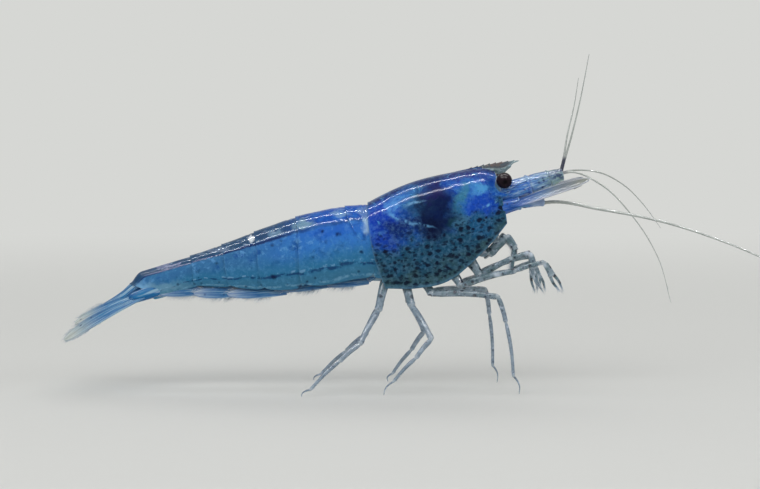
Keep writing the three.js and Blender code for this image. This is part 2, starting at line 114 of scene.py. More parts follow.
def railThrough(rows, spacing=3):
    # a smooth line through rows, asked for by row number: between two rows a cubic that leaves and
    # meets them with the slope of the parabola through each row and its neighbours. The first
    # `spacing` numbers of a row say how far apart two rows are.
    rows = np.asarray(rows, float)
    steps = np.linalg.norm(np.diff(rows[:, :spacing], axis=0), axis=1)
    knots = np.concatenate([[0], np.cumsum(steps)])
    slopes = np.gradient(rows, knots, axis=0)

    def at(station):
        station = np.clip(np.asarray(station, float), 0, len(rows) - 1)
        i = np.minimum(station.astype(int), len(rows) - 2)
        t = (station - i)[..., None]
        span = steps[i][..., None]
        return ((2 * t**3 - 3 * t**2 + 1) * rows[i] + (3 * t**2 - 2 * t**3) * rows[i + 1]
                + (t**3 - 2 * t**2 + t) * span * slopes[i] + (t**3 - t**2) * span * slopes[i + 1])

    return at


def evenly(route, count):
    # count points at equal steps along the smooth line through a route
    rail = railThrough(route)
    fine = rail(np.linspace(0, len(route) - 1, 40 * len(route)))
    run = np.concatenate([[0], np.cumsum(np.linalg.norm(np.diff(fine, axis=0), axis=1))])
    wanted = np.linspace(0, run[-1], count)
    return np.stack([np.interp(wanted, run, fine[:, k]) for k in range(3)], 1)


def gridFaces(rows, columns, around=False):
    # the four corners of each cell; around joins the last column to the first. A fourth corner
    # of -1 marks a triangle in the other builders.
    r = np.arange(rows - 1)[:, None] * columns
    c = np.arange(columns if around else columns - 1)[None, :]
    n = (c + 1) % columns
    return np.stack([r + c, r + n, r + columns + n, r + columns + c], -1).reshape(-1, 4)


def fan(ring, pole):
    # a triangle from each side of a ring to the pole
    return np.stack([ring, np.roll(ring, -1), np.full_like(ring, pole), np.full_like(ring, -1)], 1)


def cappedFaces(rows, columns):
    # a grid joined round, and a fan at each end, to two more points that follow the grid's own
    first = np.arange(columns)
    count = rows * columns
    return np.concatenate([
        gridFaces(rows, columns, around=True),
        fan(first, count)[:, [1, 0, 2, 3]],
        fan(first + count - columns, count + 1),
    ])


def gridMap(down, over):
    # a grid's map: u follows the rows and v the columns
    return np.stack(np.broadcast_arrays(down[:, None], over), -1)


def closedPart(points, faces, uv, tone=0.0):
    # points, faces, a place (u, v) and a tone for each point. If the volume inside comes out
    # negative, all faces are turned round.
    points = points.reshape(-1, 3)
    a, b, c, d = (points[faces[:, k]] for k in range(4))
    triangle = faces[:, 3] < 0
    volume = (np.cross(a, b) * c).sum() + (np.cross(a, c) * d)[~triangle].sum()
    if volume < 0:
        turned = faces[:, [0, 3, 2, 1]]
        turned[triangle] = faces[triangle][:, [0, 2, 1, 3]]
        faces = turned
    uv = np.asarray(uv, float).reshape(-1, 2)
    return {"points": points, "faces": faces, "uv": uv,
            "tone": np.broadcast_to(np.asarray(tone, float).reshape(-1), len(points))}


def gridNormals(grid):
    # square to the grid's two directions
    return unit(np.cross(np.gradient(grid, axis=0), np.gradient(grid, axis=1)))


def shellPart(outer, thickness, uv, tone, inwards):
    # a sheet with a wall: the inner side is the outer one moved inwards by the thickness, which
    # falls to a third along the borders, and a strip joins the two along all four borders
    rows, columns = outer.shape[:2]
    r = np.minimum(np.arange(rows), np.arange(rows)[::-1])[:, None]
    c = np.minimum(np.arange(columns), np.arange(columns)[::-1])[None, :]
    wall = thickness * (1 / 3 + 2 / 3 * smoothStep(0, 3, np.minimum(r, c)))
    inner = outer + inwards * wall[..., None]
    count = rows * columns
    index = np.arange(count).reshape(rows, columns)
    border = np.concatenate([index[0, :-1], index[:-1, -1], index[-1, :0:-1], index[:0:-1, 0]])
    following = np.roll(border, -1)
    skin = gridFaces(rows, columns)
    faces = np.concatenate([
        skin,
        skin[:, ::-1] + count,
        np.stack([following, border, border + count, following + count], 1),
    ])
    return closedPart(np.stack([outer, inner]), faces, np.stack([uv, uv]), np.stack([tone, tone]))


def tube(path, across, upright, sideCount=12, tone=0.0):
    # ellipses carried along a path, across and upright being their half sizes at each point, and
    # closed by one point at each end. Their width stays level, which keeps them from turning.
    path = np.asarray(path, float)
    along = unit(np.gradient(path, axis=0))
    wide = unit([0, 1, 0] - along[:, 1:2] * along)
    high = np.cross(along, wide)
    angle = np.linspace(0, 2 * np.pi, sideCount, endpoint=False)
    across = np.broadcast_to(across, len(path))[:, None, None]
    upright = np.broadcast_to(upright, len(path))[:, None, None]
    rings = (path[:, None] + wide[:, None] * np.cos(angle)[:, None] * across
             + high[:, None] * np.sin(angle)[:, None] * upright)
    points = np.concatenate([rings.reshape(-1, 3), path[:1], path[-1:]])
    uv = gridMap(np.linspace(0, 1, len(path)), angle / (2 * np.pi)).reshape(-1, 2)
    uv = np.concatenate([uv, [[0, 0], [1, 0]]])
    if np.ndim(tone):
        tone = np.concatenate([np.repeat(tone, sideCount), tone[:1], tone[-1:]])
    return closedPart(points, cappedFaces(len(path), sideCount), uv, tone)


def roundEnd(share, start, width, least):
    # the square root of 1 - ((share - start) / width)^2 beyond the start, and 1 before it
    return np.sqrt(np.clip(1 - (np.clip(share - start, 0, 1) / width) ** 2, least, 1))


def bowedLine(start, end, share, bow):
    # points along a segment whose middle is lifted by half a sine
    along = unit(end - start)
    lift = unit(np.cross(np.cross(along, [0.0, 0.0, 1.0]), along) + [1e-6, 0, 0])
    return start + share[:, None] * (end - start) + (bow * np.sin(np.pi * share))[:, None] * lift


podomereShape = {
    # the rings' places as shares of the length, closer near both joints: from, to, how many
    "rings": [(-0.03, 0.12, 7), (0.17, 0.8, 9), (0.84, 1.03, 12)],
    "collar": {"place": 0.93, "rise": 0.12, "width": 0.05},
    "jointTone": 0.16,  # how far from a joint the tone falls to a third, in mm
}


def podomere(start, end, fromRadius, toRadius, bow=0.0, flat=0.85, neck=0.7, sideCount=14):
    # one segment of a limb. Its radius rises from a narrow neck, runs evenly, flares into a collar
    # just before the next joint and closes in a round end. bow lifts the middle by half a sine. The
    # tone is 1 at both joints.
    shape, collar = podomereShape, podomereShape["collar"]
    start, end = np.asarray(start, float), np.asarray(end, float)
    share = np.concatenate([np.linspace(*rings) for rings in shape["rings"]])
    length = np.linalg.norm(end - start)
    path = bowedLine(start, end, share, bow)
    radius = fromRadius + (toRadius - fromRadius) * share
    radius = radius * (neck + (1 - neck) * smoothStep(0, 0.2, share))
    radius = radius * (1 + collar["rise"] * hump(share, collar["place"], collar["width"]))
    closing = np.clip((share - 0.97) / 0.062, 0, 1)
    opening = np.clip((0.0 - share) / 0.032, 0, 1)
    radius = radius * np.sqrt(1 - closing**2 * 0.98) * np.sqrt(1 - opening**2 * 0.98)
    near = np.minimum(np.abs(share), np.abs(1 - share)) * length
    return tube(path, radius * flat, radius, sideCount, tone=hump(near, 0, shape["jointTone"]))


def podomeres(joints, radii, *form):
    # one between each two joints
    return [podomere(*ends, *form) for ends in zip(joints, joints[1:], radii, radii[1:])]


def thorn(root, reach, across, upright, taper, sideCount=10, rows=26):
    # a straight spike. Its half width falls by the taper's share to the tip, its half height by 0.9.
    t = np.linspace(0, 1, rows)
    path = np.array(root) + t[:, None] * np.array(reach)
    return tube(path, across * (1 - taper * t), upright * (1 - 0.9 * t), sideCount)


def bristles(roots, heads, lengths, radius, rootPlace, curl=0.0, curlWay=(0, 0, -1), rings=4):
    # three-sided spikes. The centre line is root + head * length * t + curl * curlWay * length * t^2
    # and the radius falls evenly to the tip. Each one's patch of the map is 0.003 wide, at its root.
    roots, heads = np.asarray(roots, float), unit(np.asarray(heads, float))
    count = len(roots)
    lengths = np.broadcast_to(np.asarray(lengths, float), count)
    t = np.linspace(0, 1, rings + 1)[:-1]
    bend = curl * unit(np.asarray(curlWay, float) * np.ones((count, 3)))
    reach = lengths[:, None, None]
    onward = t[None, :, None] * heads[:, None] + (t**2)[None, :, None] * bend[:, None]
    line = roots[:, None] + reach * onward
    tip = roots + lengths[:, None] * (heads + bend)
    wide = unit(np.cross(heads, heads[:, [1, 2, 0]] + [0.1, 0.2, 0.3]))
    high = np.cross(heads, wide)
    angle = np.arange(3) * 2 * np.pi / 3
    ring = np.cos(angle)[:, None] * wide[:, None] + np.sin(angle)[:, None] * high[:, None]
    girth = radius * (1 - 0.9 * t)[None, :, None, None]
    body = line[:, :, None] + girth * ring[:, None]
    points = np.concatenate([body.reshape(count, -1, 3), tip[:, None]], 1)
    size = 3 * rings + 1
    pattern = np.concatenate([gridFaces(rings, 3, around=True), [[0, 2, 1, -1]],
                              fan(np.arange(3) + 3 * (rings - 1), size - 1)])
    steps = (np.arange(count) * size)[:, None, None]
    faces = np.where(pattern < 0, -1, pattern + steps).reshape(-1, 4)
    spread = np.concatenate([np.repeat(t, 3), [1.0]])
    turn = np.concatenate([np.tile([0, 0.5, 1.0], rings), [0.5]])
    patch = np.asarray(rootPlace, float)[:, None] * 0.996 + 0.003 * np.stack([spread, turn], 1)
    return closedPart(points, faces, patch, np.tile(spread, count))


def leaf(length, halfWidth, outline, camber=0.0, ribs=(), thickness=0.08, rows=46, columns=25):
    # a blade along +x from its root, as a sheet with a wall. outline gives the half width on each
    # side, as a share, at each share of the length. The middle stands camber higher than the edges,
    # each rib (place across, height, width) is a low ridge that fades to the tip.
    share = (1 - np.cos(np.linspace(0, np.pi, rows))) / 2
    across = np.sin(np.linspace(-np.pi / 2, np.pi / 2, columns))
    left, right = outline(share)
    reach = np.where(across > 0, right[:, None], left[:, None]) * halfWidth
    x = np.broadcast_to(share[:, None] * length, reach.shape)
    z = camber * (1 - across**2) * np.sin(np.pi * share)[:, None] ** 0.5
    for placeAcross, height, width in ribs:
        z = z + height * hump(across, placeAcross, width) * (1 - share[:, None] ** 2)
    grid = np.stack([x, across * reach, z], -1)
    uv = gridMap(share, (across + 1) / 2)
    edge = hump(1 - np.abs(across), 0, 0.2) * np.ones_like(reach)
    down = np.broadcast_to([0.0, 0.0, -1.0], grid.shape)
    return shellPart(grid, thickness, uv, edge, down)


def leafBasis(root, tip, roll, side):
    # a blade's directions along it, across it towards its outer edge, and upwards, square to both,
    # and its length. roll lifts the outer edge. The right side mirrors the left.
    along = unit(np.subtract(tip, root))
    out = unit([0, side, 0] - along[1] * side * along)
    up = np.cross(along, out)
    hand = np.sign(up[2])
    wide = np.cos(np.radians(roll)) * out + np.sin(np.radians(roll)) * hand * up
    basis = np.stack([along, wide, hand * np.cross(along, wide)])
    return basis, np.linalg.norm(np.subtract(tip, root))


def laid(part, root, basis):
    # the part turned to a basis and moved to its root. closedPart() turns mirrored faces back.
    return closedPart(part["points"] @ basis + root, part["faces"], part["uv"], part["tone"])


def fringe(outline, length, halfWidth, fromShare, side, count, reach, root, basis, seed,
           splay=0.5, girth=0.009, bow=0.0):
    # bristles along one edge of a leaf, each leaning from straight outwards towards the tip. bow is
    # the height of the leaf's middle over its ends.
    chance = np.random.default_rng(seed)
    share = np.sort(chance.uniform(fromShare, 1, count))
    width = outline(share)[1 if side > 0 else 0] * halfWidth
    roots = np.stack([share * length, side * width * 0.96, bow * np.sin(np.pi * share) - 0.02], 1)
    lean = splay + 0.8 * share**3
    heads = np.stack([lean, side * (1 - share**6), chance.normal(0, 0.08, count)], 1)
    lengths = reach * (0.55 + 0.45 * np.sin(np.pi * share**0.8)) * chance.uniform(0.8, 1.1, count)
    place = np.stack([share, 0.5 + 0.5 * side * np.ones(count)], 1)
    made = bristles(roots, heads, lengths, girth, place, curl=0.12, curlWay=(1, 0, 0))
    return laid(made, root, basis)


def joined(parts):
    # parts put one after another as one, with each one's faces counted on from the points before it
    starts = np.cumsum([0] + [len(p["points"]) for p in parts[:-1]])
    faces = [np.where(p["faces"] < 0, -1, p["faces"] + start) for p, start in zip(parts, starts)]
    whole = {key: np.concatenate([p[key] for p in parts]) for key in ("points", "uv", "tone")}
    return {**whole, "faces": np.concatenate(faces)}


def addObject(name, data):
    thing = bpy.data.objects.new(name, data)
    bpy.context.scene.collection.objects.link(thing)
    return thing


def makePiece(name, parts, material, nodes=(), mapName="bodyMap"):
    # parts joined into one mesh, which rides on the root body and stands for the CAD nodes named
    whole = joined(parts if isinstance(parts, list) else [parts])
    corners = whole["faces"][whole["faces"] >= 0].astype(np.int32)
    sizes = (whole["faces"] >= 0).sum(1)
    mesh = bpy.data.meshes.new(name)
    mesh.vertices.add(len(whole["points"]))
    mesh.vertices.foreach_set("co", toScene(whole["points"]).astype(np.float32).ravel())
    mesh.loops.add(len(corners))
    mesh.loops.foreach_set("vertex_index", corners)
    mesh.polygons.add(len(sizes))
    mesh.polygons.foreach_set("loop_start", (np.cumsum(sizes) - sizes).astype(np.int32))
    mesh.polygons.foreach_set("use_smooth", np.ones(len(sizes), bool))
    mesh.update(calc_edges=True)
    layer = mesh.uv_layers.new(name=mapName)
    layer.uv.foreach_set("vector", whole["uv"][corners].astype(np.float32).ravel())
    tone = mesh.attributes.new("tone", "FLOAT", "POINT")
    tone.data.foreach_set("value", whole["tone"].astype(np.float32))
    mesh.materials.append(material)
    piece = addObject(name, mesh)
    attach(piece, "root")
    if nodes:
        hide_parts(*nodes)


def makeNodePiece(node, parts, material):
    # a piece that stands for one CAD node and is named after it: leg_3_right becomes leg3Right
    first, *others = node.split("_")
    name = first + "".join(word.title() for word in others)
    makePiece(name, parts, material, [node])


def colour(code):
    # an sRGB hex colour, made linear by the standard's two-part curve, with full alpha
    value = np.array([int(code[i:i + 2], 16) for i in (0, 2, 4)]) / 255
    linear = np.where(value <= 0.04045, value / 12.92, ((value + 0.055) / 1.055) ** 2.4)
    return (*(float(x) for x in linear), 1.0)


def put(beside, kind, inputs=None, **settings):
    # adds a shader node to a tree, or to the tree of the node or output named. settings are its own
    # fields, and inputs its sockets by name or number, each with a value, another node's output, or
    # another node, which stands for its first output.
    tree = beside.id_data
    node = tree.nodes.new("ShaderNode" + kind)
    for field, value in settings.items():
        setattr(node, field, value)
    for key, value in (inputs or {}).items():
        if isinstance(value, bpy.types.Node):
            value = value.outputs[0]
        if isinstance(value, bpy.types.NodeSocket):
            tree.links.new(value, node.inputs[key])
        else:
            node.inputs[key].default_value = value
    return node


def newMaterial(name):
    material = bpy.data.materials.new(name)
    material.use_nodes = True
    material.node_tree.nodes.clear()
    return material, material.node_tree


def millimetrePlace(tree):
    # object coordinates in the builder's millimetres
    here = put(tree, "TexCoord").outputs["Object"]
    return put(tree, "Mapping", {"Vector": here, "Scale": (1 / millimetre,) * 3,
                                 "Location": (-shiftX, 0, 0)})


def toneValue(tree):
    # the tone that the mesh carries at each point
    return put(tree, "Attribute", attribute_name="tone").outputs["Fac"]


def remapped(value, fromLow, fromHigh, toLow=0.0, toHigh=1.0):
    # a smooth rise between two values, or a fall where the first is the higher one
    return put(value, "MapRange", {"Value": value, "From Min": fromLow, "From Max": fromHigh,
                                   "To Min": toLow, "To Max": toHigh},
               interpolation_type="SMOOTHSTEP", clamp=True)


def product(whole, *factors):
    # a value multiplied by other values and numbers
    for factor in factors:
        whole = put(whole, "Math", {0: whole, 1: factor}, operation="MULTIPLY")
    return whole


def layered(base, layers):
    # colours laid over a base, one after another. A layer is its factors, which are multiplied, and
    # its colour.
    for *factors, code in layers:
        share = product(*factors)
        base = put(share, "Mix", {0: share, 6: base, 7: colour(code)}, data_type="RGBA").outputs[2]
    return base


def softPatch(place, centre, size, strength=1.0, softness=0.45, tilt=0.0):
    # 1 inside an ellipse in side view, falling to 0 outside it. tilt raises its front end, in
    # degrees. Across the body it is so long that both sides show it.
    inside = put(place, "Mapping", {"Vector": place, "Location": (centre[0], 0, centre[1]),
                                    "Rotation": (0, np.radians(-tilt), 0),
                                    "Scale": (size[0], 1000, size[1])}, vector_type="TEXTURE")
    away = put(place, "VectorMath", {0: inside}, operation="LENGTH").outputs["Value"]
    return remapped(away, 1 + softness, 1 - softness, 0.0, strength)


def spots(place, spacing, size, seed=0.0, dimensions="3D"):
    # round spots about one spacing apart, some larger than others. size is their radius as a share
    # of the spacing. In 2D only the first two coordinates count.
    moved = put(place, "Mapping", {"Vector": place, "Location": (seed, seed, seed)})
    cells = put(place, "TexVoronoi", {"Vector": moved, "Scale": 1 / spacing, "Randomness": 0.85},
                voronoi_dimensions=dimensions)
    chance = put(place, "SeparateColor", {0: cells.outputs["Color"]})
    grown = remapped(chance, 0.0, 1.0, 0.55 * size, 1.35 * size)
    within = put(place, "Math", {0: grown, 1: cells.outputs["Distance"]}, operation="SUBTRACT")
    return remapped(within, -0.1, 0.1)


def blotches(place, width, low=0.4, high=0.6, detail=3.0, seed=0.0):
    # soft irregular patches about one width across
    moved = put(place, "Mapping", {"Vector": place, "Location": (seed, -seed, 2 * seed)})
    noise = put(place, "TexNoise", {"Vector": moved, "Scale": 1 / width, "Detail": detail,
                                    "Roughness": 0.6})
    return remapped(noise, low, high)


def shaken(place, width, reach, detail=3.0):
    # the place moved by up to about half the reach, smoothly over one width
    noise = put(place, "TexNoise", {"Vector": place, "Scale": 1 / width, "Detail": detail})
    centred = put(place, "VectorMath", {0: noise.outputs["Color"], 1: (0.5, 0.5, 0.5)},
                  operation="SUBTRACT")
    return put(place, "VectorMath", {0: centred, 1: (reach,) * 3, 2: place}, operation="MULTIPLY_ADD")


def lineAt(value, middle, halfWidth):
    # 1 where a value is at the middle, falling to 0 half a width to each side
    gone = put(value, "Math", {0: value, 1: middle}, operation="SUBTRACT")
    size = put(value, "Math", {0: gone}, operation="ABSOLUTE")
    return remapped(size, halfWidth, 0.2 * halfWidth)


def finish(base, settings, bumps=()):
    # a Principled surface with its colour, its constant settings and a chain of bumps, each
    # (height, depth in millimetres, strength)
    relief = {}
    for height, depth, strength in bumps:
        relief = {"Normal": put(base, "Bump", {"Height": height, "Distance": depth * millimetre,
                                               "Strength": strength, **relief})}
    shader = put(base, "BsdfPrincipled", {"Base Color": base, **settings, **relief},
                 subsurface_method="RANDOM_WALK")
    put(base, "OutputMaterial", {"Surface": shader})


# Under water a cuticle's edge bends light far less than in air, so the IOR is that of chitin over
# water.
wetShell = {
    "Roughness": 0.38, "IOR": 1.2, "Specular IOR Level": 0.06,
    "Coat Weight": 0.5, "Coat Roughness": 0.11, "Coat IOR": 1.22,
    "Subsurface Weight": 0.15, "Subsurface Radius": (0.5, 0.8, 1.4), "Subsurface Scale": 0.0002,
}

carapacePaint = {
    "upper": "154eb4", "lower": "1b4a66", "margin": "324f54", "dorsal": "142a6a", "mottle": "3a86cc",
    # rim is the colour of a painted highlight along the shell's edges
    "streak": "5aa6da", "dots": "050d26", "rim": "6fa6cc",
    # soft marks seen through the shell: colour, centre (x, z), half size (x, z), strength
    "marks": [
        ("0e37aa", (0.9, 9.6), (1.2, 1.3), 0.9),
        ("5a9ee4", (1.3, 10.98), (0.48, 0.48), 0.7),
        ("2f6cb4", (2.3, 11.35), (0.9, 0.3), 0.5),
        ("2a2a74", (5.4, 12.45), (1.7, 0.3), 0.6),
        ("2c6a90", (2.7, 10.8), (0.75, 0.8), 0.7),
        ("0a2050", (2.7, 9.5), (1.7, 0.6), 0.85),
        ("387e98", (5.35, 11.1), (0.45, 0.8), 0.85),
        ("4c86a8", (5.15, 9.9), (0.35, 0.5), 0.6),
        ("1243b4", (6.45, 10.7), (0.95, 0.7), 0.9),
        ("52a4da", (6.4, 11.72), (0.6, 0.28), 0.75),
        ("1a5684", (6.5, 9.4), (0.9, 0.6), 0.7),
    ],
    # thin bright streaks of pale tissue under the shell, and one painted highlight: colour, centre, half
    # size, degrees that the front end rises, strength
    "lines": [
        ("78bcee", (1.75, 9.94), (0.78, 0.09), -21, 0.7),
        ("6fb2e8", (3.05, 9.6), (0.5, 0.05), -11, 0.65),
        # a painted highlight: a glint of the wet shell on the upper flank
        ("8cc4f0", (2.6, 10.85), (0.5, 0.06), 12, 0.6),
        ("5fa6dc", (1.2, 10.35), (0.5, 0.12), -50, 0.5),
        ("7ac4ec", (6.95, 10.8), (0.5, 0.07), 26, 0.8),
        ("5aa4e0", (6.6, 11.45), (0.6, 0.09), 12, 0.6),
        ("5fa6dc", (0.5, 9.1), (0.35, 0.1), 20, 0.5),
    ],
    # the three kinds of spot: spacing, size, seed, the two heights between which they come in,
    # strength
    "dotSizes": [
        (0.3, 0.13, 9.0, 0.42, 0.64, 0.5),
        (0.36, 0.24, 7.0, 0.6, 0.84, 0.7),
        (0.5, 0.22, 1.0, 0.62, 0.78, 0.88),
    ],
    # dark organs, as the marks
    "organs": [
        ("040c30", (3.82, 10.35), (1.25, 1.45), 0.92),
        ("1c1458", (3.7, 11.35), (0.6, 0.35), 0.6),
        ("123a3e", (4.75, 9.75), (0.25, 0.5), 0.6),
        ("1a4ab0", (6.35, 10.75), (0.8, 0.5), 0.4),
    ],
}


def makeCarapaceMaterial():
    # a live shrimp's cuticle: thin, clear, wet chitin over blue pigment. The eye sees a soft gloss, and
    # under it dark organs, pale flesh and many navy pigment spots on the lower half. One bright streak is
    # a painted highlight, and the paler rim is a painted highlight along the edges.
    material, tree = newMaterial("wetPigmentedChitin")
    paint = carapacePaint
    place = millimetrePlace(tree)
    loose = shaken(shaken(place, 1.3, 2.2, 4.0), 0.35, 0.6)
    low = put(tree, "SeparateXYZ", {0: put(tree, "UVMap", uv_map="bodyMap")}).outputs[1]
    ragged = put(tree, "Math", {0: blotches(place, 0.9, 0.3, 0.7), 1: 0.16, 2: low},
                 operation="MULTIPLY_ADD")
    base = layered(colour(paint["upper"]), [
        (blotches(place, 0.55, 0.45, 0.75), 0.5, paint["mottle"]),
        (remapped(ragged, 0.52, 0.78), paint["lower"]),
        (remapped(ragged, 0.84, 1.08), paint["margin"]),
        (remapped(low, 0.26, 0.12), paint["dorsal"]),
    ])
    marks, organs = ([(softPatch(loose, centre, size, strength, 0.55), code)
                      for code, centre, size, strength in paint[kind]]
                     for kind in ("marks", "organs"))
    base = layered(base, marks)
    # the bright streaks, of pale tissue and one painted highlight, drawn a little wavy
    near = shaken(place, 0.6, 0.24, 1.0)
    broken = blotches(place, 0.35, 0.38, 0.6, 3.0, 14.0)
    lines = [(softPatch(near, centre, size, strength, 0.9, tilt), broken, code)
             for code, centre, size, tilt, strength in paint["lines"]]
    # spots are laid out by length and height, a little wider than high, and differ between the sides
    at = put(tree, "SeparateXYZ", {0: place})
    leftSide = put(tree, "Math", {0: at.outputs[1], 1: 0.0}, operation="GREATER_THAN")
    sideOn = put(tree, "CombineXYZ", {0: at.outputs[0], 1: at.outputs[2]})
    squashed = put(tree, "Mapping", {"Vector": sideOn, "Scale": (0.85, 1.15, 1.0)})
    offset = put(tree, "VectorMath", {0: leftSide, 1: (13.0, 5.0, 0.0), 2: squashed},
                 operation="MULTIPLY_ADD")
    flank = shaken(offset, 0.3, 0.34)
    dots = [(spots(flank, spacing, size, seed, "2D"), remapped(ragged, fromLow, toLow), strength,
             paint["dots"])
            for spacing, size, seed, fromLow, toLow, strength in paint["dotSizes"]]
    slanting = put(tree, "Mapping", {"Vector": loose, "Rotation": (0, 0.9, 0), "Scale": (0.5, 1, 1.6)})
    streaks = blotches(slanting, 0.4, 0.56, 0.72, 4.0, 6.0)
    edge = toneValue(tree)
    base = layered(base, [
        (streaks, remapped(ragged, 0.7, 0.45), 0.75, paint["streak"]),
        (blotches(place, 0.2, 0.4, 0.7, 4.0, 3.0), 0.16, "7fb4e0"),
        *dots,
        *organs,
        *lines,
        # the paler rim along the shell's edges, a painted highlight
        (edge, 0.35, paint["rim"]),
    ])
    fine = put(tree, "TexNoise", {"Vector": place, "Scale": 6.0, "Detail": 3.0})
    finish(base, wetShell, [(fine, 0.02, 0.08)])
    return material


carapaceShape = {
    "rows": 150, "columns": 161, "thickness": 0.09,
    # how far the rear border stands back, and how far more it curves back over the first somite
    "rearShift": 0.12, "rearBulge": 0.3,
    "frontTrim": 0.04,  # how far the front border is set back at its foot
    "orbit": {"height": 11.85, "width": 0.34, "depth": 0.2},
    "spine": {"height": 11.3, "width": 0.1, "length": 0.42},
    # the groove behind the eye slants: its x at a height, and how far x falls for each mm down
    "groove": {"x": 5.6, "z": 12.6, "slant": 0.55, "width": 0.3, "depth": 0.022},
    "hollow": {"x": 5.9, "z": 10.1, "length": 0.6, "width": 0.3, "depth": 0.02},
    "crestHeight": 0.07, "rimHeight": 0.03, "rimWidth": 0.022,
}


def bodySection(rail, station, angle):
    # points of the body's outline at a station along it and an angle from the back, in degrees. The
    # height, a share from the margin to the back, falls with the angle's cosine, and the distance out
    # is the half width times a power of its sine, so below the flank the outline curls inwards.
    cut = rail(station)
    edge = np.cos(np.radians(bodyShape["marginAngle"]))
    cosine, sine = np.cos(np.radians(angle)), np.sin(np.radians(angle))
    height = np.where(cosine > 0, 0.5 + 0.5 * cosine, 0.5 - 0.5 * cosine / edge)
    out = cut[..., 4] * np.sign(sine) * np.abs(sine) ** bodyShape["squareness"]
    x = cut[..., 2] + (cut[..., 0] - cut[..., 2]) * height
    z = cut[..., 3] + (cut[..., 1] - cut[..., 3]) * height
    return np.stack([x, out, z], -1), height


carapaceRail = railThrough(bodyShape["carapace"], 2)
abdomenRail = railThrough(bodyShape["abdomen"], 2)


def bodyGrid(rail, fromStation, toStation, rows, columns):
    # outlines at even stations, each from the right lower margin over the back to the left one
    reach = bodyShape["marginAngle"]
    station, angle = np.meshgrid(np.linspace(fromStation, toStation, rows),
                                 np.linspace(-reach, reach, columns), indexing="ij")
    points, height = bodySection(rail, station, angle)
    return points, station, angle, height


def outwardNormals(grid):
    # normals turned away from the body's middle line
    normals = gridNormals(grid)
    middle = grid.mean(axis=1, keepdims=True)
    return normals * np.sign((normals * (grid - middle)).sum(-1).mean())


def makeCarapace(material):
    # the section outline carried along the body. Its rear border curves back, its front border has
    # the eye's notch and a spine below it, and low ridges and grooves are raised along its normals.
    shape = carapaceShape
    last = len(bodyShape["carapace"]) - 1
    grid, station, angle, height = bodyGrid(carapaceRail, 0, last, shape["rows"], shape["columns"])
    lowness = np.abs(angle) / bodyShape["marginAngle"]
    z = grid[..., 2]
    front = smoothStep(last - 1.4, last, station)
    rear = 1 - smoothStep(0, 1.3, station)
    flank = smoothStep(14, 34, np.abs(angle))
    orbit, spine, groove, hollow = (shape[key] for key in ("orbit", "spine", "groove", "hollow"))
    grid[..., 0] -= rear * (shape["rearShift"] + shape["rearBulge"] * np.sin(np.pi * height) ** 0.8)
    grid[..., 0] -= front * flank * orbit["depth"] * hump(z, orbit["height"], orbit["width"])
    point = smoothStep(last - 0.7, last, station) ** 2 * hump(z, spine["height"], spine["width"])
    grid[..., 0] += point * spine["length"] * flank
    grid[..., 0] -= shape["frontTrim"] * front * smoothStep(0.86, 1, lowness)
    x = grid[..., 0]
    behind = x - (groove["x"] - groove["slant"] * (groove["z"] - z))
    grooved = hump(behind, 0, groove["width"]) * smoothStep(9.2, 9.9, z) * smoothStep(12.45, 12.0, z)
    dented = hump(x - hollow["x"], 0, hollow["length"]) * hump(z, hollow["z"], hollow["width"])
    crest = hump(grid[..., 1], 0, 0.13) * smoothStep(2.2, 3.4, station)
    rim = hump(1 - lowness, 0, shape["rimWidth"]) + hump(station, 0, 0.03) + hump(station, last, 0.03)
    rim = np.minimum(rim, 1)
    relief = (shape["crestHeight"] * crest - groove["depth"] * grooved - hollow["depth"] * dented
              + shape["rimHeight"] * rim
              + 0.02 * ripple(grid, 1.7, 11) + 0.005 * ripple(grid, 0.6, 12))
    grid = grid + outwardNormals(grid) * relief[..., None]
    uv = np.stack([station / last, lowness], -1)
    part = shellPart(grid, shape["thickness"], uv, rim, -outwardNormals(grid))
    makePiece("carapaceShell", part, material, ["carapace"])


rostrumShape = {
    "rows": 226, "rowsUp": 15,
    # where it rises from the back and where that lies in front of it, as stations of the carapace
    "start": 2.95, "footEnd": 4.75,
    "tip": (8.62, 13.26), "hump": 0.07,
    # each tooth's crest as a share of its length, the power of the rise to it, and how high and how
    # far forwards its point goes
    "teeth": 9, "toothOffset": 0.3, "toothCrest": 0.82, "toothPower": 1.7,
    "toothRise": 0.1, "toothLead": 0.08,
    # the lower edge in front of the carapace, rear to front, with one tooth near the tip
    "keel": [(7.5, 12.46), (7.78, 12.54), (8.0, 12.76), (8.16, 12.88), (8.19, 13.0), (8.3, 13.1)],
    "edgeHalfWidth": 0.025, "ridgeHalfWidth": 0.15, "footHalfWidth": 0.2,
}


def makeRostrumMaterial():
    # the same chitin without blue pigment: clear reddish brown along the teeth, whitish below
    material, tree = newMaterial("clearBrownChitin")
    place = millimetrePlace(tree)
    high = toneValue(tree)
    forwards = put(tree, "SeparateXYZ", {0: place}).outputs[0]
    streaky = put(tree, "Mapping", {"Vector": place, "Scale": (0.5, 1.0, 2.5)})
    base = layered(colour("56696f"), [
        (blotches(place, 0.25), 0.6, "8c9c9c"),
        (lineAt(high, 0.36, 0.14), blotches(streaky, 0.3, 0.42, 0.58, 2.0, 9.0), 0.85, "b0c6d6"),
        (remapped(high, 0.46, 0.6), 0.9, "4c4e58"),
        (remapped(high, 0.58, 0.8), "606a6e"),
        (remapped(high, 0.58, 0.8), remapped(forwards, 6.5, 7.0),
         blotches(place, 0.3, 0.4, 0.6, 2.0, 4.0), 0.7, "7d685e"),
        (remapped(high, 0.93, 1.0), 0.5, "b9b4ae"),
        (remapped(forwards, 7.95, 8.3), 0.8, "93a8ac"),
    ])
    fine = put(tree, "TexNoise", {"Vector": place, "Scale": 8.0})
    finish(base, {**wetShell, "Alpha": 0.93}, [(fine, 0.015, 0.3)])
    return material


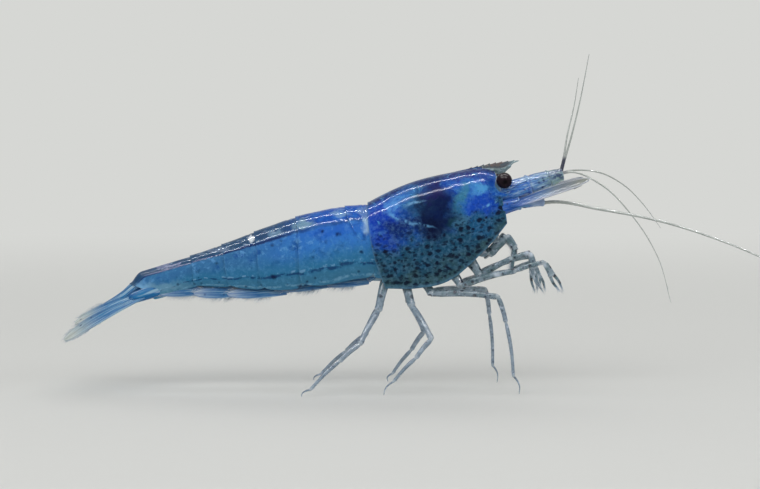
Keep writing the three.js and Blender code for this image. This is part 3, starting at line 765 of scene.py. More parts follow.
def makeRostrum(material):
    # an upright blade: the half width is set by the height, wide where it sits on the carapace,
    # with a ridge along each side, and thin at the toothed upper edge. Each tooth rises along a
    # power curve and drops at once, and its point is pushed forwards.
    shape = rostrumShape
    rows, high = shape["rows"], shape["rowsUp"]
    share = np.linspace(0, 1, rows)
    tipX, tipZ = shape["tip"]
    backs = carapaceRail(np.linspace(shape["start"], shape["footEnd"], 9))[:, :2]
    startX, startZ = backs[0]
    x = startX + share * (tipX - startX)
    phase = (share * shape["teeth"] - shape["toothOffset"]) % 1
    crest = shape["toothCrest"]
    grown = smoothStep(0.0, 0.12, share) * (1 - 0.45 * share) * (share < 0.96)
    rise, drop = (phase / crest) ** shape["toothPower"], (1 - phase) / (1 - crest)
    tooth = grown * np.where(phase < crest, rise, drop)
    top = startZ + 0.02 + share * (tipZ - startZ) + shape["hump"] * np.sin(np.pi * share)
    under = np.concatenate([backs - [0, 0.1], np.array(shape["keel"]), [[tipX, tipZ - 0.03]]])
    bottom = np.interp(x, under[:, 0], under[:, 1])
    bottom = np.minimum(bottom, top - 0.02)
    t = np.linspace(0, 1, high)
    depth = (top - bottom)[:, None]
    z = bottom[:, None] + t * depth + shape["toothRise"] * tooth[:, None] * t**2
    forwards = x[:, None] + shape["toothLead"] * (tooth[:, None] * t**3)
    half = (shape["edgeHalfWidth"] + (shape["footHalfWidth"] - shape["edgeHalfWidth"]) * (1 - t) ** 2
            + (shape["ridgeHalfWidth"] - 0.05) * hump(t, 0.38, 0.16))
    half = half * ((1 - 0.75 * smoothStep(0.55, 1, share)) * smoothStep(-0.04, 0.1, share))[:, None]
    left = np.stack([forwards, half, z], -1)
    right = np.stack([forwards, -half, z], -1)[:, ::-1]
    ring = np.concatenate([left, right], 1)
    points = np.concatenate([ring.reshape(-1, 3), ring[0].mean(0)[None], ring[-1].mean(0)[None]])
    tone = np.concatenate([np.tile(np.concatenate([t, t[::-1]]), rows), [0.5, 0.5]])
    uv = np.zeros((len(points), 2))
    uv[:-2] = gridMap(share, np.linspace(0, 1, 2 * high)).reshape(-1, 2)
    blade = closedPart(points, cappedFaces(rows, 2 * high), uv, tone)
    makePiece("rostrumBlade", blade, material, ["rostrum"])


makeCarapace(makeCarapaceMaterial())
makeRostrum(makeRostrumMaterial())
print("carapace and rostrum made")


abdomenPaint = {
    "upper": "3473c4", "lower": "2e7098", "keel": "3a7190", "dorsal": "24405e", "dorsalFront": "0850b6",
    # rim is the colour of a painted highlight along the plates' edges
    "line": "0c2258", "dots": "08163c", "rim": "6f9fc8", "pale": "bcd4ea",
    # whitish clouds along the back: colour, centre (x, z), half size (x, z), strength
    "marbling": [
        ("8fb4bc", (-3.8, 9.5), (0.6, 0.35), 0.6),
        ("86aed2", (-1.7, 10.2), (0.5, 0.22), 0.6),
        ("7f9cc4", (-0.3, 10.3), (0.45, 0.25), 0.5),
        ("7fa0bc", (-5.4, 9.1), (0.5, 0.2), 0.6),
        ("8a9cb8", (-8.6, 8.1), (0.7, 0.16), 0.6),
        ("9a9cc0", (-11.5, 7.2), (1.2, 0.12), 0.5),
    ],
    # pale places at the front of the first plate and at the lower rear end of the last
    "paleMarks": [
        ("b4d4ee", (-0.12, 9.55), (0.28, 0.45), 0.7),
        ("7fb4de", (-13.1, 5.95), (0.45, 0.3), 0.6),
    ],
}


def makeAbdomenMaterial():
    # the same wet chitin with less pigment over pale muscle. The eye sees a clear mid blue that turns
    # greenish low down, one dark line high on each side, a broken one low down with pale dashes above
    # it that are painted highlights, and clouds along the back. One white spot is a painted glint, and
    # the paler rim is a painted highlight along the plates' edges.
    material, tree = newMaterial("wetBlueChitin")
    paint = abdomenPaint
    place = millimetrePlace(tree)
    uv = put(tree, "SeparateXYZ", {0: put(tree, "UVMap", uv_map="bodyMap")})
    far, low = uv.outputs[0], uv.outputs[1]
    edge = toneValue(tree)
    wander = put(tree, "TexNoise", {"Vector": place, "Scale": 1.1, "Detail": 3.0})
    ragged = put(tree, "Math", {0: wander, 1: 0.1, 2: low}, operation="MULTIPLY_ADD")
    loose = shaken(place, 0.5, 0.9)
    torn = shaken(place, 0.5, 0.5)
    tornFiner = shaken(place, 0.4, 0.5)
    front = remapped(far, 0.42, 0.22)
    base = layered(colour(paint["upper"]), [
        (blotches(place, 0.9, 0.4, 0.7), 0.6, "3c84cc"),
        (remapped(far, 0.25, 0.65), 0.75, "36688c"),
        (blotches(torn, 0.7, 0.5, 0.66, 4.0, 12.0), 0.75, "1a4a90"),
        (blotches(tornFiner, 0.34, 0.54, 0.7, 3.0, 15.0), 0.55, "68a4d8"),
        (remapped(ragged, 0.62, 0.86), paint["lower"]),
        (remapped(ragged, 0.86, 0.93), 0.8, paint["keel"]),
        (blotches(torn, 0.24, 0.46, 0.74, 2.0, 2.0), 0.3, "5c9ccc"),
        (blotches(place, 0.09, 0.5, 0.75, 2.0, 4.0), 0.2, "255a86"),
        (softPatch(loose, (-2.0, 9.25), (1.9, 0.34), 0.6, 0.7, 7), "1f5cc4"),
    ])
    band = remapped(ragged, 0.42, 0.37)
    line = product(lineAt(ragged, 0.42, 0.036), remapped(far, 0.25, 0.45, 0.35, 1.0))
    drawnOut = put(tree, "Mapping", {"Vector": place, "Scale": (0.5, 1.0, 2.2)})
    flecks = blotches(drawnOut, 0.22, 0.56, 0.66, 2.0, 9.0)
    base = layered(base, [
        (band, 0.8, paint["dorsal"]),
        (band, front, 0.9, paint["dorsalFront"]),
        (band, blotches(loose, 0.5, 0.46, 0.62, 4.0, 17.0), front, 0.55, "2f74cc"),
        *((band, softPatch(loose, centre, size, strength, 0.5), code)
          for code, centre, size, strength in paint["marbling"]),
        (band, flecks, blotches(place, 1.1, 0.45, 0.6, 2.0, 7.0), 0.45, paint["pale"]),
        (line, 0.9, paint["line"]),
        (lineAt(ragged, 0.87, 0.024), blotches(place, 0.35, 0.38, 0.54, 3.0, 5.0), 0.72, paint["line"]),
        # pale dashes above the low dark line, painted highlights
        (lineAt(ragged, 0.845, 0.02), blotches(place, 0.4, 0.5, 0.6, 2.0, 8.0), 0.38, "8fbce2"),
        (lineAt(ragged, 1.0, 0.025), blotches(place, 0.3, 0.4, 0.6, 3.0, 21.0), 0.6, "74a6c4"),
        (softPatch(loose, (-12.0, 5.95), (1.3, 0.3), 0.5, 0.7), "7fa8bc"),
        (spots(shaken(place, 0.3, 0.2), 0.75, 0.15, 3.0), remapped(ragged, 0.42, 0.5), 0.85,
         paint["dots"]),
        (spots(place, 0.5, 0.12, 6.0), remapped(low, 0.5, 0.8), 0.6, paint["dots"]),
        # one white spot high on the flank, a painted glint
        (softPatch(shaken(place, 0.2, 0.5), (-6.85, 8.75), (0.22, 0.18), 0.95, 0.3), "e6eef8"),
        *((softPatch(loose, centre, size, strength, 0.6), code)
          for code, centre, size, strength in paint["paleMarks"]),
        # the paler rim along the plates' edges, a painted highlight
        (edge, 0.08, paint["rim"]),
    ])
    fine = put(tree, "TexNoise", {"Vector": place, "Scale": 6.0, "Detail": 3.0})
    finish(base, wetShell, [(fine, 0.02, 0.1)])
    return material


abdomenShape = {
    "rows": 64, "columns": 141, "thickness": 0.06,
    # how far a plate runs under and over its neighbours, in somites
    "reachUnder": 0.12, "reachOver": 0.05,
    # how far back each border runs at the lower margin, in somites, front to rear
    "sweep": [0.0, -0.4, 0.2, 0.15, 0.14, 0.08, 0.0],
    "underCarapace": 0.3,  # how far the first plate runs on below the carapace
    "tuck": 0.06, "proud": 0.03, "corner": 0.08, "rim": 0.02, "groove": 0.025,
}


def makeAbdomenPlate(number, material):
    # the section outline between two borders that sweep back or forwards down the flank. The front
    # edge is tucked under the plate before it, the rear edge stands proud of the next, and the
    # second plate's flaps lie over both neighbours. Both lower corners are rounded off.
    shape = abdomenShape
    share, side = np.meshgrid(np.linspace(0, 1, shape["rows"]),
                              np.linspace(-1, 1, shape["columns"]), indexing="ij")
    lowness = np.abs(side)
    sweep = smoothStep(0.35, 1, lowness)
    fromStation = number - 1 - shape["reachUnder"] * (number > 1) + shape["sweep"][number - 1] * sweep
    toStation = number + shape["reachOver"] * (number < 6) + shape["sweep"][number] * sweep
    station = fromStation + share * (toStation - fromStation)
    corner = shape["corner"] * (1.0 if number < 6 else 0.4)
    reach = bodyShape["marginAngle"] * (1 - corner * np.abs(2 * share - 1) ** 3)
    angle = side * reach
    grid, height = bodySection(abdomenRail, station, angle)
    if number == 1:
        grid[..., 0] += shape["underCarapace"] * (1 - smoothStep(0, 0.3, share))
    if number == 6:
        # the rear border: a small tooth at each side and a shallow notch above it
        rear = smoothStep(0.8, 1, share) ** 2
        grid[..., 0] -= rear * (0.16 * hump(height, 0.3, 0.16) - 0.1 * hump(height, 0.62, 0.14))
        # and the back bends down to the telson
        grid[..., 2] -= 0.5 * rear * height**2
    flap = smoothStep(0.55, 0.7, lowness)
    frontLift = -shape["tuck"] * (1 - smoothStep(0.05, 0.3, share))
    rearLift = shape["proud"] * smoothStep(0.55, 1, share) * (number < 6)
    if number == 2:
        frontLift = frontLift + 2 * shape["proud"] * flap * (1 - smoothStep(0.1, 0.4, share))
    if number == 1:
        rearLift = rearLift * (1 - 2 * flap)
    rim = np.maximum(hump(1 - share, 0, 0.022), hump(1 - lowness, 0, 0.02))
    groove = hump(share, 0.3, 0.035) * (1 - 0.6 * flap) * (number < 6)
    relief = (frontLift + rearLift + shape["rim"] * rim - shape["groove"] * groove
              + 0.012 * ripple(grid, 1.2, 20 + number) + 0.004 * ripple(grid, 0.5, 30 + number))
    normals = outwardNormals(grid)
    grid = grid + normals * relief[..., None]
    uv = np.stack([station / 6, np.abs(angle) / bodyShape["marginAngle"]], -1)
    part = shellPart(grid, shape["thickness"], uv, rim, -normals)
    makePiece(f"abdomenPlate{number}", part, material, [f"abdomen_{number}"])


skinShape = {
    "rows": 260, "columns": 96,
    # the soft body under the plates, front to rear: x, top z, bottom z, half width
    "cuts": [
        [8.0, 11.95, 10.7, 0.3],
        [7.72, 12.3, 9.9, 0.72],
        [7.1, 12.5, 8.9, 1.05],
        [6.1, 12.45, 7.7, 1.4],
        [4.8, 12.2, 6.8, 1.6],
        [3.0, 11.8, 6.25, 1.66],
        [1.7, 11.35, 6.12, 1.62],
        [0.3, 10.6, 6.2, 1.52],
        [-1.0, 10.3, 6.5, 1.46],
        [-3.7, 9.85, 6.3, 1.36],
        [-6.2, 8.95, 6.1, 1.16],
        [-8.1, 8.15, 6.15, 0.93],
        [-9.9, 7.55, 6.2, 0.74],
        [-11.6, 7.05, 5.75, 0.62],
        [-13.1, 6.6, 5.4, 0.52],
    ],
    "sternites": 13, "sterniteDepth": 0.05,
}


def makeSkinMaterial():
    # the soft joint skin between and below the plates: thin, matt and wet, a pale grey blue that
    # the eye sees as flesh, with fine dark pigment specks
    material, tree = newMaterial("softJointSkin")
    place = millimetrePlace(tree)
    base = layered(colour("6f96b0"), [
        (blotches(place, 0.7), 0.6, "4f7f9f"),
        (blotches(place, 0.15, 0.45, 0.7, 2.0, 3.0), 0.4, "9db9c8"),
        (spots(place, 0.5, 0.13, 2.0), 0.75, "14233f"),
    ])
    fine = put(tree, "TexNoise", {"Vector": place, "Scale": 5.0, "Detail": 4.0})
    settings = {"Roughness": 0.42, "IOR": 1.38, "Coat Weight": 0.4, "Coat Roughness": 0.15,
                "Subsurface Weight": 0.3, "Subsurface Radius": (0.7, 0.9, 1.2),
                "Subsurface Scale": 0.0003}
    finish(base, settings, [(fine, 0.04, 0.4)])
    return material


def makeSkin(material):
    # a closed body along a smooth line: an ellipse-like section, fuller below, whose underside is
    # crossed by the shallow ridges of the sternites
    shape = skinShape
    rows, columns = shape["rows"], shape["columns"]
    cut = railThrough(shape["cuts"], 2)(np.linspace(0, len(shape["cuts"]) - 1, rows))
    angle = np.linspace(0, 2 * np.pi, columns, endpoint=False)
    below = np.maximum(-np.cos(angle), 0)
    middle = (cut[:, 1] + cut[:, 2])[:, None] / 2
    halfHeight = (cut[:, 1] - cut[:, 2])[:, None] / 2
    out = np.sign(np.sin(angle)) * np.abs(np.sin(angle)) ** 0.8
    run = (cut[0, 0] - cut[:, 0]) / (cut[0, 0] - cut[-1, 0])
    wave = np.abs(np.sin(np.pi * shape["sternites"] * run))[:, None] * below
    ends = np.sqrt(np.clip(1 - (2 * run - 1) ** 40, 0.001, 1))[:, None]
    y = cut[:, 3:4] * out * (1 - 0.04 * wave) * ends
    z = middle + halfHeight * (np.cos(angle) + shape["sterniteDepth"] * wave) * ends
    x = np.broadcast_to(cut[:, :1], y.shape)
    grid = np.stack([x, y, z], -1)
    poles = np.stack([[cut[0, 0], 0, middle[0, 0]], [cut[-1, 0], 0, middle[-1, 0]]])
    points = np.concatenate([grid.reshape(-1, 3), poles])
    uv = np.concatenate([gridMap(run, angle / (2 * np.pi)).reshape(-1, 2), [[0, 0], [1, 0]]])
    part = closedPart(points, cappedFaces(rows, columns), uv)
    makePiece("bodySkin", part, material)


abdomenMaterial = makeAbdomenMaterial()
for number in range(1, 7):
    makeAbdomenPlate(number, abdomenMaterial)
makeSkin(makeSkinMaterial())
print("abdomen and body skin made")


leastWidth = 0.05  # a leaf's half width at its very tip, as a share of its greatest


def oval(rootWidth, widest, tipPower):
    # half widths of a leaf at each share of its length: a quarter sine up from the root to the widest
    # place, then a power curve down to the tip. The same on both sides.
    def outline(share):
        rising = rootWidth + (1 - rootWidth) * np.sin(np.pi / 2 * np.clip(share / widest, 0, 1))
        away = np.clip((share - widest) / (1 - widest), 0, 1) ** tipPower
        width = np.maximum(rising * np.sqrt(1 - away), leastWidth)
        return width, width
    return outline


def ribbing(uvMap, along, across, detail):
    # noise drawn out along a blade, in about so many cells along it and across it
    drawnOut = put(uvMap, "Mapping", {"Vector": uvMap, "Scale": (along, across, 1.0)})
    return put(uvMap, "TexNoise", {"Vector": drawnOut, "Scale": 1.0, "Detail": detail})


def makeBladeMaterial(name, pale, deep, tipStart, alpha, streaks):
    # blades of the tail fan and swimming legs: clear chitin so thin that light comes through, with
    # pale ribs and a blue root. The eye sees a glassy leaf that whitens to its tip.
    material, tree = newMaterial(name)
    place = millimetrePlace(tree)
    uvMap = put(tree, "UVMap", uv_map="bodyMap")
    far = put(tree, "SeparateXYZ", {0: uvMap})
    edge = toneValue(tree)
    rays = ribbing(uvMap, 1.4, 14.0, 2.0)
    fine = ribbing(uvMap, 3.0, 44.0, 3.0)
    rootward = remapped(far, 0.85, 0.5)
    tipward = remapped(far, 0.76, 0.96)
    base = layered(colour(deep), [
        (blotches(place, 0.5), 0.4, "2f68a8"),
        (remapped(far, tipStart, tipStart + 0.45), pale),
        (remapped(rays, 0.52, 0.62), streaks, "a4c8dc"),
        (remapped(rays, 0.47, 0.38), rootward, streaks, "1c5290"),
        (remapped(fine, 0.54, 0.66), streaks, 0.6, "d4e4ee"),
        (remapped(fine, 0.45, 0.36), rootward, streaks, 0.45, "2a558c"),
        (remapped(rays, 0.46, 0.56), tipward, streaks, "dfe4e0"),
        (spots(place, 0.6, 0.1, 5.0), 0.7, "16255c"),
        (edge, 0.35, "8aa4bc"),
    ])
    settings = {"Roughness": 0.38, "IOR": 1.2, "Specular IOR Level": 0.25, "Alpha": alpha,
                "Coat Weight": 0.15, "Coat Roughness": 0.12, "Coat IOR": 1.2,
                "Subsurface Weight": 0.15, "Subsurface Radius": (0.6, 0.8, 1.2),
                "Subsurface Scale": 0.0002}
    finish(base, settings, [(rays, 0.02, 0.4)])
    return material


def makeBristleMaterial():
    # stiff clear setae: they catch the light as fine pale threads, bluer towards the root
    material, tree = newMaterial("clearSetae")
    spread = toneValue(tree)
    place = millimetrePlace(tree)
    base = layered(colour("9db4c8"), [
        (remapped(spread, 0.0, 0.7), "e2e9ee"),
        (blotches(place, 0.4), 0.4, "b8c4d8"),
    ])
    finish(base, {"Roughness": 0.35, "IOR": 1.45, "Alpha": 0.75})
    return material


telsonShape = {
    "rows": 70, "columns": 40,
    "line": [[-12.6, 0, 6.3], [-13.3, 0, 6.08], [-14.3, 0, 5.36], [-15.5, 0, 4.74], [-16.9, 0, 4.2]],
    "halfWidth": [0.5, 0.52, 0.46, 0.36, 0.2], "halfHeight": [0.4, 0.36, 0.27, 0.17, 0.07],
    "keelHeight": 0.05,
    "flattening": 0.45,  # the share of its depth that the underside loses
    "sideSpines": {"pairs": 5, "from": 0.42, "to": 0.9, "length": 0.2, "radius": 0.022},
    "endSpines": {"count": 8, "length": 0.42, "radius": 0.016},
}


def makeTelson(material, bristleMaterial):
    # a tapering tube, wide and low, with a keel along its back and pairs of short spines beside it
    shape = telsonShape
    rows, columns = shape["rows"], shape["columns"]
    path = evenly(shape["line"], rows)
    share = np.linspace(0, 1, rows)
    marks = np.linspace(0, 1, len(shape["halfWidth"]))
    ends = roundEnd(share, 0.93, 0.072, 0.02)
    across = np.interp(share, marks, shape["halfWidth"]) * ends
    upright = np.interp(share, marks, shape["halfHeight"]) * ends
    part = tube(path, across, upright, columns)
    ring = part["points"][:-2].reshape(rows, columns, 3)
    angle = np.linspace(0, 2 * np.pi, columns, endpoint=False)
    top = np.clip(ring[:, :, 2] - path[:, None, 2], 0, None) / upright[:, None]
    keel = hump(np.cos(angle), 0, 0.22) * (top > 0.5)
    ring[:, :, 2] += keel * shape["keelHeight"] * (1 - share[:, None])
    # and a flattened underside
    under = np.clip(path[:, None, 2] - ring[:, :, 2], 0, None)
    ring[:, :, 2] += shape["flattening"] * under
    part["points"][:-2] = ring.reshape(-1, 3)
    makePiece("telsonBlade", part, material, ["telson"])
    along = unit(path[-1] - path[-8])
    row = shape["sideSpines"]
    station = np.repeat(np.linspace(row["from"], row["to"], row["pairs"]), 2)
    side = np.tile([-1.0, 1.0], row["pairs"])
    at = railThrough(path)(station * (rows - 1))
    width = np.interp(station, share, across)
    rise = np.interp(station, share, upright)
    roots = at + np.stack([0 * side, side * width * 0.72, rise * 0.62], 1)
    heads = along + np.stack([0 * side, side * 0.25, 0 * side + 0.12], 1)
    place = np.stack([station, side * 0.3 + 0.5], 1)
    sideSpines = bristles(roots, heads, row["length"], row["radius"], place)
    row = shape["endSpines"]
    y = np.linspace(-1, 1, row["count"])
    roots = path[-1] + np.stack([0.05 * np.abs(y), 0.15 * y, 0 * y], 1) - along * 0.06
    heads = along + np.stack([0 * y, 0.22 * y, 0 * y], 1)
    place = np.stack([0 * y + 0.97, y * 0.4 + 0.5], 1)
    endSpines = bristles(roots, heads, row["length"] - 0.12 * np.abs(y), row["radius"], place)
    makePiece("telsonSpines", [sideSpines, endSpines], bristleMaterial, mapName="OFBake")


uropodShape = {
    "protopod": {"root": (-11.9, 0.34, 5.92), "tip": (-13.95, 0.66, 5.26), "across": (0.3, 0.42),
                 "upright": (0.42, 0.33)},
    "inner": {"root": (-13.2, 0.45, 5.62), "tip": (-17.0, 1.2, 3.9), "halfWidth": 0.54,
              "roll": -28, "bow": 0.1, "outline": oval(0.6, 0.55, 2.4),
              "ribs": [(0.0, 0.03, 0.1), (0.35, 0.014, 0.08)], "setae": 70},
    "outer": {"root": (-13.1, 0.66, 5.4), "tip": (-17.42, 2.5, 3.06), "halfWidth": 0.64,
              "roll": -26, "bow": 0.2, "outline": oval(0.34, 0.6, 2.8),
              "ribs": [(-0.15, 0.03, 0.09), (0.55, 0.02, 0.07)], "setae": 90},
    "camber": 0.05, "thickness": 0.07, "setaLength": 0.5, "rows": 70, "columns": 35,
    # the suture across the outer blade: its place, how far it slants back to the edges, its teeth's
    # depth and how many radians of them to a millimetre, and its height
    "suture": {"share": 0.74, "slant": 0.1, "toothDepth": 0.025, "toothPitch": 40, "height": 0.035},
}


def makeUropods(material, bristleMaterial):
    # per side a short stout segment and two ribbed leaves, each with a fringe round its rear half
    shape = uropodShape
    fringes = []
    for sideName, side in sides.items():
        stem = shape["protopod"]
        root, tip = (mirrored(stem[key], side) for key in ("root", "tip"))
        t = (1 - np.cos(np.linspace(0, np.pi, 30))) / 2
        rounding = np.sqrt(np.clip(1.002 - (2 * t - 1) ** 6, 0, 1))
        wide, high = (np.interp(t, [0, 1], stem[key]) * rounding for key in ("across", "upright"))
        base = tube(root + t[:, None] * (tip - root), wide, high, 28)
        base["uv"] *= [0.6, 0.4]
        for kind in ("inner", "outer"):
            row = shape[kind]
            root, tip = (mirrored(row[key], side) for key in ("root", "tip"))
            basis, length = leafBasis(root, tip, row["roll"], side)
            blade = leaf(length, row["halfWidth"], row["outline"], shape["camber"], row["ribs"],
                         shape["thickness"], shape["rows"], shape["columns"])
            local = blade["points"]
            local[:, 2] += row["bow"] * np.sin(np.pi * np.clip(local[:, 0] / length, 0, 1))
            if kind == "outer":
                # the suture is a low step with a row of teeth
                suture, y = shape["suture"], local[:, 1]
                step = (length * suture["share"] + suture["slant"] * np.abs(y)
                        + suture["toothDepth"] * np.cos(y * suture["toothPitch"]))
                local[:, 2] += suture["height"] * smoothStep(-0.05, 0.0, step - local[:, 0])
            parts = [laid(blade, root, basis)] + ([base] if kind == "outer" else [])
            makeNodePiece(f"uropod_{kind}_{sideName}", parts, material)
            for edge in (-1, 1):
                seed = 40 + 4 * (side > 0) + 2 * (kind == "outer") + (edge > 0)
                start = 0.5 if edge < 0 or kind == "inner" else 0.72
                fringes.append(fringe(row["outline"], length, row["halfWidth"], start, edge, row["setae"],
                                      shape["setaLength"], root, basis, seed, bow=row["bow"]))
    makePiece("tailFringe", fringes, bristleMaterial, mapName="OFBake")


swimmeretShape = {
    "out": 0.42,  # from the middle to a hip, as a share of the body's half width
    "place": 0.3,  # a hip's place along its somite, as a share of it
    "stemRadius": 0.15, "longest": 4.3,
    "reach": 2.1,  # how far a leg goes beyond the next somite's front
    # its two blades: distance outwards, share of the reach, degrees of roll
    "blades": [(0.16, 1.0, -74), (-0.1, 0.86, -80)],
    "halfWidth": 0.34, "below": 0.28, "thickness": 0.05, "outline": oval(0.7, 0.5, 2.6),
    "setae": 46, "setaLength": 0.4,
}


def makeSwimmerets(material, bristleMaterial):
    # ten swimming legs laid back along the belly: a short stem and two narrow leaves each
    shape = swimmeretShape
    fringes = []
    for number in range(1, 6):
        at = abdomenRail(np.array([number - 1 + shape["place"], min(number + 0.2, 5.2)]))
        fromX, fromZ = at[0, 2], at[0, 3]
        toX, toZ = at[1, 2], at[1, 3]
        out = shape["out"] * at[0, 4]
        reach = min(shape["longest"], fromX - toX + shape["reach"])
        for sideName, side in sides.items():
            hip = np.array([fromX, side * out, fromZ + 0.35])
            knee = np.array([fromX - 0.2 * reach, side * (out + 0.05), fromZ - 0.16])
            parts = [podomere(hip, knee, shape["stemRadius"] * 1.2, shape["stemRadius"], flat=0.75)]
            for beyond, share, roll in shape["blades"]:
                tip = np.array([fromX - reach * share, side * (out * 0.9 + beyond),
                                (fromZ + toZ) / 2 - shape["below"] * (1 if beyond > 0 else 0.7)])
                root = knee + [0.05, side * beyond * 0.3, 0.02]
                basis, length = leafBasis(root, tip, roll, side)
                width = shape["halfWidth"] * min(1, length / 2)
                blade = leaf(length, width, shape["outline"], 0.04, [(0.0, 0.02, 0.12)],
                             shape["thickness"])
                parts.append(laid(blade, root, basis))
                for edge in (-1, 1):
                    seed = 60 + 20 * number + 4 * (side > 0) + 2 * (beyond > 0) + (edge > 0)
                    start = 0.3 if edge > 0 else 0.8
                    fringes.append(fringe(shape["outline"], length, width, start, edge, shape["setae"],
                                          shape["setaLength"], root, basis, seed))
            makeNodePiece(f"swimmeret_{number}_{sideName}", parts, material)
    makePiece("swimmeretFringe", fringes, bristleMaterial, mapName="OFBake")


tailMaterial = makeBladeMaterial("thinClearChitin", "acb4ae", "2c7cb0", 0.48, 0.88, 0.8)
swimmeretMaterial = makeBladeMaterial("violetSwimmeretChitin", "6c8cba", "3e76a6", 0.5, 0.76, 0.6)
bristleMaterial = makeBristleMaterial()
makeTelson(tailMaterial, bristleMaterial)
makeUropods(tailMaterial, bristleMaterial)
makeSwimmerets(swimmeretMaterial, bristleMaterial)
print("tail fan and swimmerets made")


# light that goes a little way into the pale muscle under clear chitin
paleFlesh = {
    "Subsurface Weight": 0.2, "Subsurface Radius": (0.6, 0.8, 1.1), "Subsurface Scale": 0.0002,
}


def makeLimbMaterial():
    # limb cuticle: nearly clear, over pale muscle. The eye sees glassy grey blue rods with whitish
    # joints and small navy pigment spots, larger near the body. Pale bluish blotches and whitish patches
    # near the front limbs are painted glints.
    material, tree = newMaterial("clearLimbChitin")
    place = millimetrePlace(tree)
    joint = toneValue(tree)
    height = put(tree, "SeparateXYZ", {0: place}).outputs[2]
    near = remapped(height, 4.0, 6.5)
    # places of painted glints: whitish patches on the claws and mouth limbs
    glintPlaces = ((9.15, 7.9), (9.85, 7.3), (9.55, 6.65), (7.95, 6.6), (7.3, 6.75), (10.6, 5.9),
                  (8.4, 5.35))
    base = layered(colour("7d8fa0"), [
        (near, 0.85, "56747a"),
        (blotches(place, 0.45), 0.5, "a3b3c2"),
        (blotches(place, 0.12, 0.45, 0.7, 2.0, 3.0), 0.4, "55697e"),
        # pale bluish blotches, painted glints
        (blotches(place, 0.3, 0.56, 0.68, 3.0, 5.0), 0.6, "c3d0e4"),
        (remapped(joint, 0.35, 0.95), 0.5, "c8d4de"),
        (spots(place, 0.36, 0.28, 4.0), remapped(height, 4.0, 6.0), 0.92, "0d1830"),
        (spots(place, 0.24, 0.2, 8.0), 0.6, "1c2c48"),
        # whitish patches at those places, painted glints
        *((softPatch(place, centre, (0.2, 0.13), 0.75, 0.8), "dde8f6") for centre in glintPlaces),
    ])
    settings = {"Roughness": 0.28, "IOR": 1.3, "Alpha": 0.78,
                "Coat Weight": 0.5, "Coat Roughness": 0.08, "Coat IOR": 1.25, **paleFlesh}
    fine = put(tree, "TexNoise", {"Vector": place, "Scale": 9.0, "Detail": 3.0})
    finish(base, settings, [(fine, 0.015, 0.3)])
    return material


# the line along which the hips sit, rear to front: x, z
hipLine = [[1.04, 5.93], [2.71, 5.96], [4.84, 6.57], [6.1, 7.25], [7.15, 8.4], [7.89, 9.73]]
marginLine = railThrough(hipLine, 2)(np.linspace(0, len(hipLine) - 1, 60))


def marginHeight(x):
    # the height of that line at an x
    return np.interp(x, marginLine[:, 0], marginLine[:, 1])


# Each limb's hip is (x, distance out), and each segment is (length, degrees forwards from straight
# down, degrees outwards). A walking leg's toe has only the degrees, since it ends on the ground.
mouthLimbs = {
    "maxilliped_right": {
        "hip": (6.45, 0.45), "segments": [(0.62, 135, 0), (1.48, 139, 0), (0.85, 38, 2), (1.3, -6, 0)]},
    "maxilliped_left": {
        "hip": (6.45, 0.45), "segments": [(0.62, 132, 0), (1.45, 134, 0), (0.95, 34, 3), (1.25, -12, 0)]},
}
clawLegs = {
    "leg_1_right": {
        "hip": (5.7, 0.95), "segments": [(0.7, 75, 12), (2.1, 121, 12), (1.12, 108, 6), (1.9, 14, 0)]},
    "leg_1_left": {
        "hip": (5.7, 0.95), "segments": [(0.7, 75, 12), (2.1, 112, 12), (1.2, 100, 6), (1.95, 8, 0)]},
    "leg_2_right": {
        "hip": (4.55, 1.0), "segments": [(0.8, 76, 25), (3.33, 107, 16), (1.7, 107, 4), (1.8, 30, -4)]},
    "leg_2_left": {
        "hip": (4.55, 1.0), "segments": [(0.8, 76, 25), (3.1, 101, 18), (1.6, 112, 6), (1.75, 20, -4)]},
}
walkingLegs = {
    "leg_3_right": {
        "hip": (2.88, 0.9), "toe": (18, 0),
        "segments": [(0.75, 74, 22), (3.95, 89, 18), (1.5, 17, 8), (3.1, 8, 3)]},
    "leg_3_left": {
        "hip": (2.88, 0.9), "toe": (14, 0),
        "segments": [(0.75, 74, 22), (3.5, 90, 20), (1.5, 9, 8), (3.1, 4, 3)]},
    "leg_4_right": {
        "hip": (1.92, 0.9), "toe": (-35, 0),
        "segments": [(1.07, 31, 30), (2.55, 32, 35), (1.38, -40, 10), (1.84, -44, 5)]},
    "leg_4_left": {
        "hip": (1.92, 0.9), "toe": (-30, 0),
        "segments": [(1.07, 26, 30), (2.55, 26, 37), (1.38, -34, 10), (1.84, -38, 5)]},
    "leg_5_right": {
        "hip": (0.96, 0.9), "toe": (-52, 0),
        "segments": [(1.3, -24, 25), (2.4, -30, 30), (1.56, -51, 20), (2.35, -47, 18)]},
    "leg_5_left": {
        "hip": (0.96, 0.9), "toe": (-50, 0),
        "segments": [(1.3, -21, 26), (2.4, -26, 33), (1.56, -48, 20), (2.25, -46, 20)]},
}
